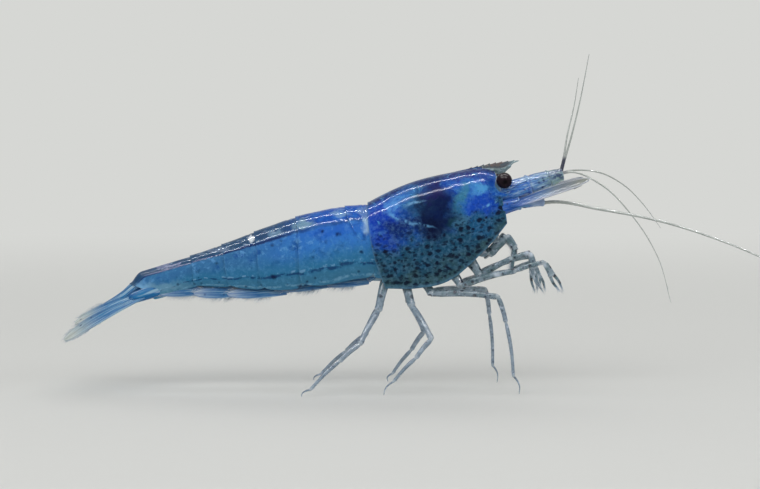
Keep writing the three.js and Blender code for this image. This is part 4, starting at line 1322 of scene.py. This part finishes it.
# The smaller mouthparts behind the maxillipeds: each palp's root, tip, half width and degrees of roll
palps = [
    ((6.5, 0.6, 8.9), (7.6, 0.58, 8.75), 0.3, -72),
    ((5.9, 0.8, 8.3), (6.75, 0.8, 7.8), 0.28, -72),
    ((7.1, 0.3, 9.8), (7.65, 0.34, 9.25), 0.16, -55),
]
limbShape = {
    "walkingRadii": [0.3, 0.21, 0.16, 0.125, 0.085], "clawRadii": [0.36, 0.21, 0.15, 0.13],
    "maxillipedRadii": [0.34, 0.3, 0.26, 0.18, 0.07], "toeRadius": 0.07, "toeTip": 0.014,
    "toeBow": 0.16,  # how far the middle of a walking leg's claw bows forwards
    "hipDrop": 0.2,  # how far the hips lie below the hip line
    # how far the first segment runs up into the body, and in towards its middle
    "hipRise": 0.8, "hipInset": 0.3,
    "segmentBow": 0.03,  # how high a segment's middle is lifted, as a share of its length
}
clawShape = {
    "palmShare": 0.5,  # of the last segment, and the rest is fingers
    "palmRadii": (0.16, 0.21), "fingerRadius": 0.1, "fingerTaper": 0.04, "fingerBend": 0.07,
    "gape": (0.13, 0.05),  # how far the upper and the lower tip stand from the segment's end
    # each finger's brush stands on its last part
    "bristles": 26, "bristlesFrom": 0.72, "bristleLengths": (0.2, 0.42), "bristleRadius": 0.009,
}


def sideOf(name):
    # the side is the last word of a node's name
    return sides[name.split("_")[-1]]


def headingOf(lean, splay, side):
    # the way a segment runs, from its degrees forwards from straight down and its degrees outwards
    lean, splay = np.radians(lean), np.radians(splay)
    return np.array([np.cos(splay) * np.sin(lean), side * np.sin(splay),
                     -np.cos(splay) * np.cos(lean)])


def jointsOf(row, side):
    # the limb's joints, from its hip just below the hip line
    x, out = row["hip"]
    at = [np.array([x, side * out, marginHeight(x) - limbShape["hipDrop"]])]
    for length, lean, splay in row["segments"]:
        at.append(at[-1] + length * headingOf(lean, splay, side))
    return at


def segmentParts(joints, radii, flat=0.85):
    # one podomere between each two joints, the first one reaching up into the body
    parts = []
    for k in range(len(joints) - 1):
        start = joints[k]
        if k == 0:
            inwards = -limbShape["hipInset"] * np.sign(start[1])
            start = start + np.array([0, inwards, limbShape["hipRise"]])
        bow = limbShape["segmentBow"] * np.linalg.norm(joints[k + 1] - start)
        parts.append(podomere(start, joints[k + 1], radii[k], radii[k + 1], bow=bow, flat=flat))
    return parts


def segmentLines(joints):
    # the middle line of each of a limb's segments
    t = np.linspace(0, 1, 12)
    return [bowedLine(start, end, t, limbShape["segmentBow"] * np.linalg.norm(end - start))
            for start, end in zip(joints, joints[1:])]


def spineRow(path, radius, count, length, girth, away, spread=(0.12, 0.9), seed=0, lean=0.7, jitter=0.1):
    # spines along a path on the side that faces away, leaning to its far end
    chance = np.random.default_rng(seed)
    t = np.linspace(*spread, count)
    along = unit(path[-1] - path[0])
    away = unit(np.asarray(away, float) - along * (along @ np.asarray(away, float)))
    roots = railThrough(path)(t * (len(path) - 1)) + away * radius * 0.85
    heads = away + lean * along + chance.normal(0, jitter, (count, 3))
    place = np.stack([t, chance.uniform(0.1, 0.9, count)], 1)
    return bristles(roots, heads, length * chance.uniform(0.75, 1.15, count), girth, place)


def makeWalkingLegs(material, spineMaterial):
    # four segments and a claw that reaches the ground, with spines along the inner side and fine
    # hairs on the outer one
    spines = []
    for index, (name, row) in enumerate(walkingLegs.items()):
        side = sideOf(name)
        joints = jointsOf(row, side)
        heading = headingOf(*row["toe"], side)
        ankle = joints[-1]
        toe = ankle + heading * (ankle[2] / -heading[2])
        parts = segmentParts(joints, limbShape["walkingRadii"])
        # the claw: a tube whose middle bows forwards and whose point turns down to the ground
        t = np.linspace(0, 1, 22)
        bow = np.array([np.sign(heading[0] + 0.01), 0, 0.25])
        lift = (limbShape["toeBow"] * np.sin(np.pi * t))[:, None] * bow
        path = ankle + t[:, None] * (toe - ankle) + lift
        taper = limbShape["toeRadius"] + (limbShape["toeTip"] - limbShape["toeRadius"]) * t**0.8
        path[:, 2] = np.maximum(path[:, 2], taper * 0.9)
        parts.append(tube(path, taper * 0.85, taper, 12, tone=hump(t, 0, 0.12)))
        makeNodePiece(name, parts, material)
        inner = -np.array([np.sign(heading[0] + 0.01), 0, 0.3])
        thigh, shin, foot = segmentLines(joints)[1:]
        spines += [
            spineRow(foot, 0.09, 11, 0.14, 0.013, inner, seed=100 + index),
            spineRow(foot, 0.09, 7, 0.09, 0.01, [0, side, 0.2], seed=110 + index),
            spineRow(path, 0.035, 6, 0.08, 0.012, inner, (0.25, 0.85), 120 + index),
            spineRow(thigh, 0.16, 4, 0.2, 0.018, inner, (0.3, 0.92), 130 + index),
            spineRow(thigh, 0.16, 11, 0.12, 0.008, [0.3, side, -0.5], (0.05, 0.95), 140 + index),
            spineRow(shin, 0.12, 6, 0.12, 0.008, [0.3, side, -0.5], (0.1, 0.9), 145 + index),
        ]
    makePiece("legSpines", spines, spineMaterial, mapName="OFBake")


def makeClawLegs(material, spineMaterial):
    # three segments, then a palm and two fingers whose spoon-like ends carry brushes
    shape = clawShape
    count = shape["bristles"]
    tufts = []
    for index, (name, row) in enumerate(clawLegs.items()):
        side = sideOf(name)
        joints = jointsOf(row, side)
        parts = segmentParts(joints[:4], limbShape["clawRadii"])
        wrist, tip = joints[3], joints[4]
        along = unit(tip - wrist)
        length = np.linalg.norm(tip - wrist)
        palmEnd = wrist + along * shape["palmShare"] * length
        parts.append(podomere(wrist, palmEnd, *shape["palmRadii"], bow=0.02, flat=0.7, neck=0.6,
                              sideCount=18))
        across = unit(np.cross(along, [0, 1, 0]))
        t = np.linspace(0, 1, 20)
        for finger, (turn, gape) in enumerate(zip((1, -1), shape["gape"])):
            start = palmEnd - along * 0.06 + across * turn * 0.09
            end = tip + across * turn * gape
            bend = across * turn * shape["fingerBend"]
            path = start + t[:, None] * (end - start) + np.sin(np.pi * t)[:, None] * bend
            width = shape["fingerRadius"] - shape["fingerTaper"] * t
            width = width * np.sqrt(np.clip(1.02 - t**8, 0.02, 1))
            parts.append(tube(path, width * 0.75, width, 12, tone=0.35 * hump(t, 1, 0.3)))
            chance = np.random.default_rng(150 + 2 * index + finger)
            where = chance.uniform(shape["bristlesFrom"], 1.0, count)
            roots = railThrough(path)(where * (len(t) - 1)) + chance.normal(0, 0.02, (count, 3))
            heads = along + chance.normal(0, 0.3, (count, 3)) + across * turn * -0.15
            place = np.stack([where, chance.uniform(0.1, 0.9, count)], 1)
            lengths = chance.uniform(*shape["bristleLengths"], count)
            tufts.append(bristles(roots, heads, lengths, shape["bristleRadius"], place))
        makeNodePiece(name, parts, material)
        thigh, shin = segmentLines(joints)[1:3]
        tufts += [
            spineRow(thigh, 0.15, 12, 0.15, 0.008, [0, side, -0.6], seed=170 + index),
            spineRow(shin, 0.13, 9, 0.16, 0.008, [0.3, side, -0.5], seed=180 + index),
        ]
    makePiece("clawBrushes", tufts, spineMaterial, mapName="OFBake")


def makeMouthLimbs(material, spineMaterial):
    # the maxillipeds, two combs of hairs along each of their outer segments, and the mouthparts
    combs = []
    for index, (name, row) in enumerate(mouthLimbs.items()):
        side = sideOf(name)
        joints = jointsOf(row, side)
        parts = segmentParts(joints, limbShape["maxillipedRadii"], flat=0.75)
        makeNodePiece(name, parts, material)
        for k, (line, count) in enumerate(zip(segmentLines(joints)[1:], (16, 18, 34)), 1):
            for turn, way in enumerate(([-0.8, side * 0.3, -0.3], [-0.6, -side * 0.6, -0.2])):
                seed = 190 + 10 * index + 2 * k + turn
                combs.append(spineRow(line, 0.22 - 0.05 * k, count, 0.34, 0.009, way, (0.1, 0.98),
                                      seed, 0.5, 0.16))
    makePiece("maxillipedCombs", combs, spineMaterial, mapName="OFBake")
    # three pairs of flat palps and a rounded upper lip
    parts = []
    for side in sides.values():
        for root, tip, width, roll in palps:
            root, tip = mirrored(root, side), mirrored(tip, side)
            basis, length = leafBasis(root, tip, roll, side)
            blade = leaf(length, width, oval(0.7, 0.45, 2.0), 0.06, [(0.0, 0.03, 0.2)], 0.09, 30, 19)
            parts.append(laid(blade, root, basis))
    t = np.linspace(0, 1, 26)
    path = np.array([7.45, 0, 10.3]) + t[:, None] * np.array([0.1, 0, -0.9])
    swell = 0.3 * np.sqrt(np.clip(1.0 - (2 * t - 1) ** 2, 0.002, 1))
    parts.append(tube(path, swell, swell * 0.8, 18))
    makePiece("mouthparts", parts, material)


limbMaterial = makeLimbMaterial()
makeWalkingLegs(limbMaterial, bristleMaterial)
makeClawLegs(limbMaterial, bristleMaterial)
makeMouthLimbs(limbMaterial, bristleMaterial)
print("legs and mouthparts made")


def makePeduncleMaterial():
    # the feelers' base segments: clear chitin, blue at the root and whitish forwards, with violet
    # streaks along it. The eye sees wet, cloudy white segments with blue veins.
    material, tree = newMaterial("whitishFeelerChitin")
    place = millimetrePlace(tree)
    at = put(tree, "SeparateXYZ", {0: place})
    forwards, height = at.outputs[0], at.outputs[2]
    joint = toneValue(tree)
    # streaks run along the segments, which rise 19 degrees forwards
    turned = put(tree, "Mapping", {"Vector": place, "Rotation": (0, np.radians(19), 0)})
    streak = put(tree, "Mapping", {"Vector": turned, "Scale": (0.35, 1.5, 2.6)})
    base = layered(colour("2d6cc8"), [
        (blotches(streak, 0.35, 0.45, 0.6, 3.0, 1.0), 0.7, "1c48b4"),
        (blotches(streak, 0.3, 0.42, 0.6, 3.0, 3.0), 0.8, "79b2d8"),
        (remapped(forwards, 8.7, 10.9), "88a49e"),
        (blotches(streak, 0.28, 0.48, 0.6, 3.0, 6.0), remapped(forwards, 12.0, 8.6), 0.6, "3a6cc8"),
        (blotches(streak, 0.3, 0.52, 0.62, 3.0, 9.0), 0.7, "b4d2e8"),
        (blotches(streak, 0.16, 0.52, 0.62, 3.0, 12.0), 0.6, "3c56a0"),
        (remapped(joint, 0.3, 0.9), 0.15, "b4ccdc"),
        (remapped(forwards, 9.0, 8.0), remapped(height, 11.5, 10.9), 0.75, "1f56b2"),
        (spots(place, 0.4, 0.18, 3.0), 0.85, "182a5c"),
        (softPatch(place, (9.75, 10.9), (0.6, 0.3), 0.7, 0.6), "b0c2de"),
        (blotches(place, 0.2, 0.42, 0.52, 2.0, 16.0), remapped(forwards, 10.1, 10.7),
         remapped(height, 12.05, 12.35), 0.8, "1c2f66"),
    ])
    settings = {"Roughness": 0.28, "IOR": 1.25, "Alpha": 0.93,
                "Coat Weight": 0.55, "Coat Roughness": 0.06, "Coat IOR": 1.25, **paleFlesh}
    fine = put(tree, "TexNoise", {"Vector": streak, "Scale": 6.0, "Detail": 3.0})
    finish(base, settings, [(fine, 0.02, 0.35)])
    return material


def makeScaleMaterial():
    # the antennal scale: a thin stiff clear blade. The eye sees a blue root, grey towards the tip with
    # a little cream, and fine pale ribs.
    material, tree = newMaterial("creamScaleChitin")
    place = millimetrePlace(tree)
    uvMap = put(tree, "UVMap", uv_map="bodyMap")
    uv = put(tree, "SeparateXYZ", {0: uvMap})
    along, across = uv.outputs[0], uv.outputs[1]
    edge = toneValue(tree)
    ribs = ribbing(uvMap, 1.5, 20.0, 2.0)
    base = layered(colour("5f86ae"), [
        (remapped(along, 0.5, 0.1), "2560b4"),
        (remapped(across, 0.5, 0.1), remapped(along, 0.7, 0.4), 0.8, "2f64ae"),
        (remapped(along, 0.35, 0.7), 0.9, "767e84"),
        (remapped(along, 0.7, 0.95), 0.7, "8e927c"),
        (remapped(ribs, 0.52, 0.66), 0.42, "b6bec8"),
        (remapped(ribs, 0.42, 0.32), 0.5, "4c6488"),
        (edge, remapped(along, 0.05, 0.35), 0.6, "d6daea"),
        (spots(place, 0.55, 0.09, 3.0), 0.6, "2a3c6c"),
    ])
    settings = {"Roughness": 0.28, "IOR": 1.25, "Alpha": 0.88,
                "Coat Weight": 0.5, "Coat Roughness": 0.06, "Coat IOR": 1.25}
    finish(base, settings, [(ribs, 0.03, 0.5)])
    return material


def makeFlagellumMaterial():
    # feeler threads: ringed, horn-like chitin, pale grey and slightly clear, dark navy at the root of
    # the upper threads
    material, tree = newMaterial("ringedFeelerChitin")
    place = millimetrePlace(tree)
    ring = toneValue(tree)
    base = layered(colour("a2a8a4"), [
        (blotches(place, 0.8), 0.5, "c2c8c4"),
        (remapped(ring, 0.3, 0.9), 0.4, "6a767e"),
        (softPatch(place, (11.2, 13.0), (0.3, 0.45), 0.95, 0.4), "111a40"),
    ])
    fine = put(tree, "TexNoise", {"Vector": place, "Scale": 8.0})
    settings = {"Roughness": 0.35, "IOR": 1.45, "Alpha": 0.92,
                "Coat Weight": 0.4, "Coat Roughness": 0.1}
    finish(base, settings, [(fine, 0.01, 0.3)])
    return material


def makeEyeMaterial():
    # the compound eye's cornea: very many minute lenses over dark purple-brown pigment. The eye sees
    # a smooth wet bead with a black core. Lenses are drawn about 0.03 mm wide, coarser than real.
    material, tree = newMaterial("facetedCornea")
    place = millimetrePlace(tree)
    lenses = put(tree, "TexVoronoi", {"Vector": place, "Scale": 28.0, "Randomness": 0.25})
    upward = remapped(put(tree, "SeparateXYZ", {0: place}).outputs[2], 12.0, 12.5)
    base = layered(colour("120a12"), [
        (blotches(place, 0.25), "0a060c"),
        (upward, 0.6, "281a22"),
        (remapped(lenses, 0.35, 0.6), 0.3, "3f303a"),
        (softPatch(place, (7.74, 12.06), (0.14, 0.12), 0.9, 0.7), "020104"),
    ])
    settings = {"Roughness": 0.3, "IOR": 1.2, "Specular IOR Level": 0.1,
                "Coat Weight": 0.35, "Coat Roughness": 0.06, "Coat IOR": 1.25}
    finish(base, settings, [(lenses, 0.006, 0.35)])
    return material


def makeStalkMaterial():
    # eye stalk cuticle: pale, cloudy and wet, with blue and navy specks
    material, tree = newMaterial("paleStalkChitin")
    place = millimetrePlace(tree)
    base = layered(colour("6aa2ca"), [
        (blotches(place, 0.3), "3f78b8"),
        (blotches(place, 0.12, 0.5, 0.65, 2.0, 4.0), 0.7, "9cc4da"),
        (spots(place, 0.22, 0.18, 2.0), 0.8, "152248"),
    ])
    fine = put(tree, "TexNoise", {"Vector": place, "Scale": 9.0, "Detail": 3.0})
    finish(base, wetShell, [(fine, 0.015, 0.3)])
    return material


eyeShape = {
    "centre": (7.7, 1.2, 12.13), "radius": 0.46, "rows": 47, "columns": 72,
    "stretch": 0.04,  # how much longer the ball is outwards and shorter inwards
    "stalkRoot": (7.56, 0.22, 11.97),
    "stalkRadii": [0.19, 0.2, 0.21, 0.27, 0.37, 0.44, 0.44],
    "stalkStations": [0, 0.25, 0.45, 0.66, 0.82, 0.93, 1.0],
}


def makeEyes(corneaMaterial, stalkMaterial):
    # a ball set in a cup: the cup is a tube along the stalk that flares to just behind the middle
    shape = eyeShape
    rows, columns = shape["rows"], shape["columns"]
    polar = np.linspace(0, np.pi, rows + 2)[1:-1]
    turn = np.linspace(0, 2 * np.pi, columns, endpoint=False)
    for sideName, side in sides.items():
        centre, root = (mirrored(shape[key], side) for key in ("centre", "stalkRoot"))
        outwards = unit(centre - root)
        wide = unit(np.cross(outwards, [0, 0, 1.0]))
        high = np.cross(outwards, wide)
        radius = shape["radius"] * (1 + shape["stretch"] * np.cos(polar))[:, None, None]
        around = np.cos(turn)[:, None] * wide + np.sin(turn)[:, None] * high
        ball = np.cos(polar)[:, None, None] * outwards + np.sin(polar)[:, None, None] * around
        poles = np.stack([centre + outwards * shape["radius"] * (1 + shape["stretch"]),
                          centre - outwards * shape["radius"] * (1 - shape["stretch"])])
        points = np.concatenate([(ball * radius + centre).reshape(-1, 3), poles])
        part = closedPart(points, cappedFaces(rows, columns), np.zeros((len(points), 2)))
        makePiece(f"cornea{sideName.title()}", part, corneaMaterial, [f"eye_{sideName}"])
        stations = np.linspace(0, 1, 40)
        path = root + stations[:, None] * (centre + outwards * 0.06 - root)
        radius = np.interp(stations, shape["stalkStations"], shape["stalkRadii"])
        radius = radius * roundEnd(stations, 0.96, 0.045, 0.3)
        stalk = tube(path, radius, radius, 40)
        makeNodePiece(f"eye_stalk_{sideName}", stalk, stalkMaterial)


headShape = {
    "antennule": [(7.5, 0.4, 11.3), (9.3, 0.43, 11.87), (10.4, 0.42, 12.19), (11.15, 0.42, 12.46)],
    "antennuleRadii": [0.56, 0.54, 0.48, 0.32],
    # the spike beside the first segment, and the small spine on its upper front corner: root, reach,
    # half width, half height, taper, sides
    "antennuleSpikes": [
        ((7.9, 0.72, 11.62), (1.35, 0.1, 0.62), 0.14, 0.07, 0.93, 12),
        ((9.15, 0.5, 12.1), (0.42, 0.04, 0.42), 0.09, 0.09, 0.9, 10),
    ],
    "antenna": [(7.45, 0.62, 10.52), (8.7, 0.68, 10.82), (10.05, 0.74, 10.86)],
    "antennaRadii": [0.48, 0.34, 0.2],
    "scale": {"root": (8.08, 1.1, 10.66), "tip": (12.5, 1.78, 12.22), "halfWidth": 0.62, "roll": -25,
              "ribs": [(0.35, 0.05, 0.1), (0.92, 0.04, 0.12), (-0.3, 0.02, 0.12)],
              "camber": 0.07, "thickness": 0.08, "rows": 110, "columns": 45},
    # the scale's two fringes: from which share of its length, edge, how many, length, first seed
    "scaleFringes": [(0.3, -1, 120, 0.3, 230), (0.9, 1, 26, 0.26, 240)],
}


def scaleOutline(share):
    # the outer edge is straight and ends in a spine, and the inner one is rounded to the tip
    outerWidth = 0.62
    inner = oval(0.75, 0.5, 2.3)(share)[0]
    outer = outerWidth * smoothStep(-0.1, 0.16, share) * (1 + 0.1 * share)
    beyond = smoothStep(0.85, 0.92, share)
    return inner, np.maximum(outer * (1 - beyond) + beyond * outerWidth * inner, leastWidth)


def makeHeadLimbs(material, scaleMaterial, spineMaterial):
    # per side the segments that bear the upper feelers and the long feeler, and the scale beside them
    shape = headShape
    hairs = []
    for index, (sideName, side) in enumerate(sides.items()):
        joints = mirrored(shape["antennule"], side)
        parts = podomeres(joints, shape["antennuleRadii"], 0.03, 0.76, 0.94, 22)
        parts += [thorn(mirrored(root, side), mirrored(reach, side), *form)
                  for root, reach, *form in shape["antennuleSpikes"]]
        makeNodePiece(f"antennule_base_{sideName}", parts, material)
        for k, line in enumerate(segmentLines(joints)):
            seed = 210 + 10 * index + k
            hairs.append(spineRow(line, 0.25, 16, 0.2, 0.008, [0, side, 0.3], (0.1, 0.98), seed))
            hairs.append(spineRow(line, 0.25, 14, 0.16, 0.008, [0, -side, 0.2], (0.1, 0.98), seed + 5))
        joints = mirrored(shape["antenna"], side)
        parts = podomeres(joints, shape["antennaRadii"], 0.02, 0.85, 0.85, 22)
        makeNodePiece(f"antenna_base_{sideName}", parts, material)
        row = shape["scale"]
        root, tip = (mirrored(row[key], side) for key in ("root", "tip"))
        basis, length = leafBasis(root, tip, row["roll"], side)
        blade = leaf(length, row["halfWidth"], scaleOutline, row["camber"], row["ribs"],
                     row["thickness"], row["rows"], row["columns"])
        # the spine at the front end of its outer edge
        foot = [length * 0.8, row["halfWidth"] * 0.66, -0.04]
        spike = thorn(foot, [0.5, -0.02, 0.0], 0.065, 0.045, 0.93, rows=18)
        spike["uv"] = spike["uv"] * [0.2, 0.1] + [0.75, 0.8]
        parts = [laid(blade, root, basis), laid(spike, root, basis)]
        makeNodePiece(f"antennal_scale_{sideName}", parts, scaleMaterial)
        for start, edge, count, reach, seed in shape["scaleFringes"]:
            hairs.append(fringe(scaleOutline, length, row["halfWidth"], start, edge, count, reach,
                                root, basis, seed + index, 1.5, 0.007))
    makePiece("headFringe", hairs, spineMaterial, mapName="OFBake")


# Each feeler's root radius, and its way from its base: x, distance out and z
feelers = {
    "antennule_outer_right": (0.075, [
        [11.05, 0.4, 12.55], [11.2, 0.42, 13.15], [11.6, 0.5, 14.6], [12.05, 0.6, 16.5],
        [12.6, 0.7, 19.4]]),
    "antennule_outer_left": (0.075, [
        [11.05, 0.4, 12.55], [11.2, 0.42, 13.15], [11.5, 0.7, 14.8], [11.9, 1.1, 16.4],
        [12.2, 1.5, 18.1]]),
    "antennule_inner_right": (0.06, [
        [11.05, 0.4, 12.5], [11.55, 0.42, 12.6], [13.3, 0.6, 11.9], [15.1, 0.9, 10.1],
        [16.6, 1.3, 7.6], [17.3, 1.5, 5.1]]),
    "antennule_inner_left": (0.06, [
        [11.05, 0.4, 12.52], [11.55, 0.42, 12.65], [13.2, 0.8, 12.6], [14.9, 1.6, 11.8],
        [16.1, 2.4, 10.7], [17.3, 3.2, 9.2]]),
    "antenna_feeler_right": (0.1, [
        [9.95, 0.73, 10.83], [10.35, 0.78, 10.88], [13.25, 1.4, 10.48], [16.7, 2.4, 9.8],
        [20.2, 3.8, 8.64], [22.5, 5.0, 7.66], [26, 7.2, 6.4], [29.05, 9.4, 5.7]]),
    "antenna_feeler_left": (0.09, [
        [9.9, 0.73, 10.83], [10.12, 0.9, 10.8], [10.2, 1.7, 10.72], [10.0, 3.0, 10.65],
        [9.0, 5.0, 10.45], [6.5, 7.2, 10.05], [2.4, 8.6, 9.5], [-2.4, 9.3, 8.8], [-7.2, 9.4, 8.2]]),
}
feelerShape = {
    "ringPitch": 0.25, "pointsPerRing": 5, "ringHeight": 0.1, "sides": 10,
    "tipShare": 0.2,  # the radius at the tip as a share of the root's
    "hairSpan": (0.02, 0.97), "hairLengths": (0.08, 0.18), "hairRadius": 0.006,
}


def makeFeelers(material, spineMaterial):
    # a tapering tube whose radius steps in at the end of each ring, with short hairs on it. Rings are
    # drawn 0.25 mm long, about twice the real length.
    shape = feelerShape
    hairs = []
    for index, (name, (radius, route)) in enumerate(feelers.items()):
        route = mirrored(route, sideOf(name))
        length = np.linalg.norm(np.diff(evenly(route, 200), axis=0), axis=1).sum()
        rings = int(length / shape["ringPitch"])
        count = rings * shape["pointsPerRing"] + 1
        path = evenly(route, count)
        share = np.linspace(0, 1, count)
        phase = (share * rings) % 1
        ringed = 1 + shape["ringHeight"] * (smoothStep(0, 0.6, phase) - smoothStep(0.75, 1, phase))
        girth = radius * (1 - (1 - shape["tipShare"]) * share**0.8) * ringed
        girth = girth * roundEnd(share, 0.997, 0.0031, 0.05)
        thread = tube(path, girth, girth, shape["sides"], tone=hump(phase, 0.95, 0.12))
        makeNodePiece(name, thread, material)
        hairCount = rings * (2 if "antennule" in name else 1)
        chance = np.random.default_rng(250 + index)
        where = np.sort(chance.uniform(*shape["hairSpan"], hairCount))
        along = unit(np.gradient(path, axis=0))[(where * (count - 1)).astype(int)]
        roots = railThrough(path)(where * (count - 1))
        sideways = unit(np.cross(along, chance.normal(size=(hairCount, 3))))
        place = np.stack([where, chance.uniform(0.1, 0.9, hairCount)], 1)
        lengths = chance.uniform(*shape["hairLengths"], hairCount)
        hairs.append(bristles(roots, sideways + 0.9 * along, lengths, shape["hairRadius"], place,
                              rings=2))
    makePiece("feelerHairs", hairs, spineMaterial, mapName="OFBake")


makeEyes(makeEyeMaterial(), makeStalkMaterial())
makeHeadLimbs(makePeduncleMaterial(), makeScaleMaterial(), bristleMaterial)
makeFeelers(makeFlagellumMaterial(), bristleMaterial)
print("eyes, antennal scales and feelers made")


studio = {
    "floorColour": "dcddda", "backdropColour": "d6d7d4", "plainFrom": (0.03, 0.2), "worldStrength": 0.45,
    # the camera's aim and how wide it sees there, in millimetres, degrees of elevation, focal length
    "viewCentre": (0.58, -0.9, 8.44), "viewWidth": 43.8, "elevation": 3.0, "lens": 100.0,
    # the backdrop in metres
    "floorReach": 0.9, "halfWidth": 1.1, "bendStart": 0.3, "bendRadius": 0.12, "wallTop": 0.9,
}


def seenRay(tree):
    # 1 for rays that the eye sees: straight, mirrored or through glass
    ray = put(tree, "LightPath")
    seen = put(tree, "Math", {0: ray.outputs["Is Camera Ray"], 1: ray.outputs["Is Glossy Ray"]},
               operation="MAXIMUM")
    return put(tree, "Math", {0: seen, 1: ray.outputs["Is Transmission Ray"]}, operation="MAXIMUM")


def makeFloor():
    # a floor that runs back, turns up in a quarter circle and goes on as the backdrop. Well away
    # from the model it shows its plain colour whatever light falls on it.
    material, tree = newMaterial("matPaperBackdrop")
    here = put(tree, "TexCoord").outputs["Object"]
    away = put(tree, "VectorMath", {0: here}, operation="LENGTH").outputs["Value"]
    fibre = put(tree, "TexNoise", {"Vector": here, "Scale": 900.0, "Detail": 3.0})
    base = layered(colour(studio["floorColour"]), [(fibre, 0.06, "c9c9c4")])
    paper = put(tree, "BsdfPrincipled",
                {"Base Color": base, "Roughness": 0.9, "Specular IOR Level": 0.2})
    plain = put(tree, "Emission", {"Color": colour(studio["backdropColour"])})
    share = product(seenRay(tree), remapped(away, *studio["plainFrom"]))
    put(tree, "OutputMaterial", {"Surface": put(tree, "MixShader", {0: share, 1: paper, 2: plain})})
    bend = np.linspace(0, np.pi / 2, 24)
    radius, back = studio["bendRadius"], studio["bendStart"]
    y = np.concatenate([[-studio["floorReach"]], back + radius * np.sin(bend), [back + radius]])
    z = np.concatenate([[0.0], radius * (1 - np.cos(bend)), [studio["wallTop"]]])
    x = np.linspace(-studio["halfWidth"], studio["halfWidth"], 3)
    grid = np.stack(np.broadcast_arrays(x, y[:, None], z[:, None]), -1)
    mesh = bpy.data.meshes.new("backdropSweep")
    mesh.from_pydata(grid.reshape(-1, 3).tolist(), [], gridFaces(len(y), len(x))[:, ::-1].tolist())
    mesh.polygons.foreach_set("use_smooth", np.ones(len(mesh.polygons), bool))
    mesh.materials.append(material)
    floor = addObject("backdropSweep", mesh)


def makeCamera():
    data = bpy.data.cameras.new("sideCamera")
    data.lens = studio["lens"]
    data.sensor_width = 36
    data.clip_start, data.clip_end = 0.001, 10
    camera = addObject("sideCamera", data)
    target = toScene(np.array(studio["viewCentre"]))
    distance = studio["viewWidth"] * millimetre * studio["lens"] / data.sensor_width
    rise = np.radians(studio["elevation"])
    camera.location = target + distance * np.array([0, -np.cos(rise), np.sin(rise)])
    camera.rotation_euler = (np.pi / 2 - rise, 0, 0)
    bpy.context.scene.camera = camera


lamps = {
    # place and aim in metres, size (x, y) in metres, watts, whether it lights matt surfaces, and
    # whether it shows in gloss
    "keySoftbox": ((-0.12, -0.30, 0.24), (-0.005, 0, 0.008), (0.42, 0.30), 0.75, True, False),
    "fillSoftbox": ((0.30, -0.16, 0.18), (0.0, 0, 0.008), (0.12, 0.12), 0.22, True, False),
    "backSoftbox": ((0.02, 0.24, 0.24), (-0.005, 0, 0.008), (0.30, 0.16), 0.2, True, False),
    "overheadTubeA": ((-0.005, -0.09, 0.15), (-0.005, 0, 0.008), (0.28, 0.009), 0.9, False, True),
    "overheadTubeB": ((-0.005, 0.020, 0.16), (-0.005, 0, 0.008), (0.28, 0.009), 0.9, False, True),
}


def makeLights():
    for name, (place, aim, size, watts, matt, gloss) in lamps.items():
        data = bpy.data.lights.new(name, "AREA")
        data.shape = "RECTANGLE"
        data.size, data.size_y = size
        data.energy = watts
        lamp = addObject(name, data)
        lamp.location = place
        lamp.visible_diffuse, lamp.visible_glossy = matt, gloss
        lamp.rotation_euler = (Vector(aim) - Vector(place)).to_track_quat("-Z", "Y").to_euler()
    world = bpy.data.worlds.new("studioWorld")
    world.use_nodes = True
    tree = world.node_tree
    tree.nodes.clear()
    light = put(tree, "Background", {"Color": (1, 1, 1, 1), "Strength": studio["worldStrength"]})
    plain = put(tree, "Background", {"Color": colour(studio["backdropColour"]), "Strength": 1.0})
    camera = put(tree, "LightPath").outputs["Is Camera Ray"]
    mixed = put(tree, "MixShader", {0: camera, 1: light, 2: plain})
    put(tree, "OutputWorld", {"Surface": mixed})
    bpy.context.scene.world = world


makeFloor()
makeCamera()
makeLights()
bpy.context.scene.view_settings.view_transform = "Standard"
print("floor, camera and light made")
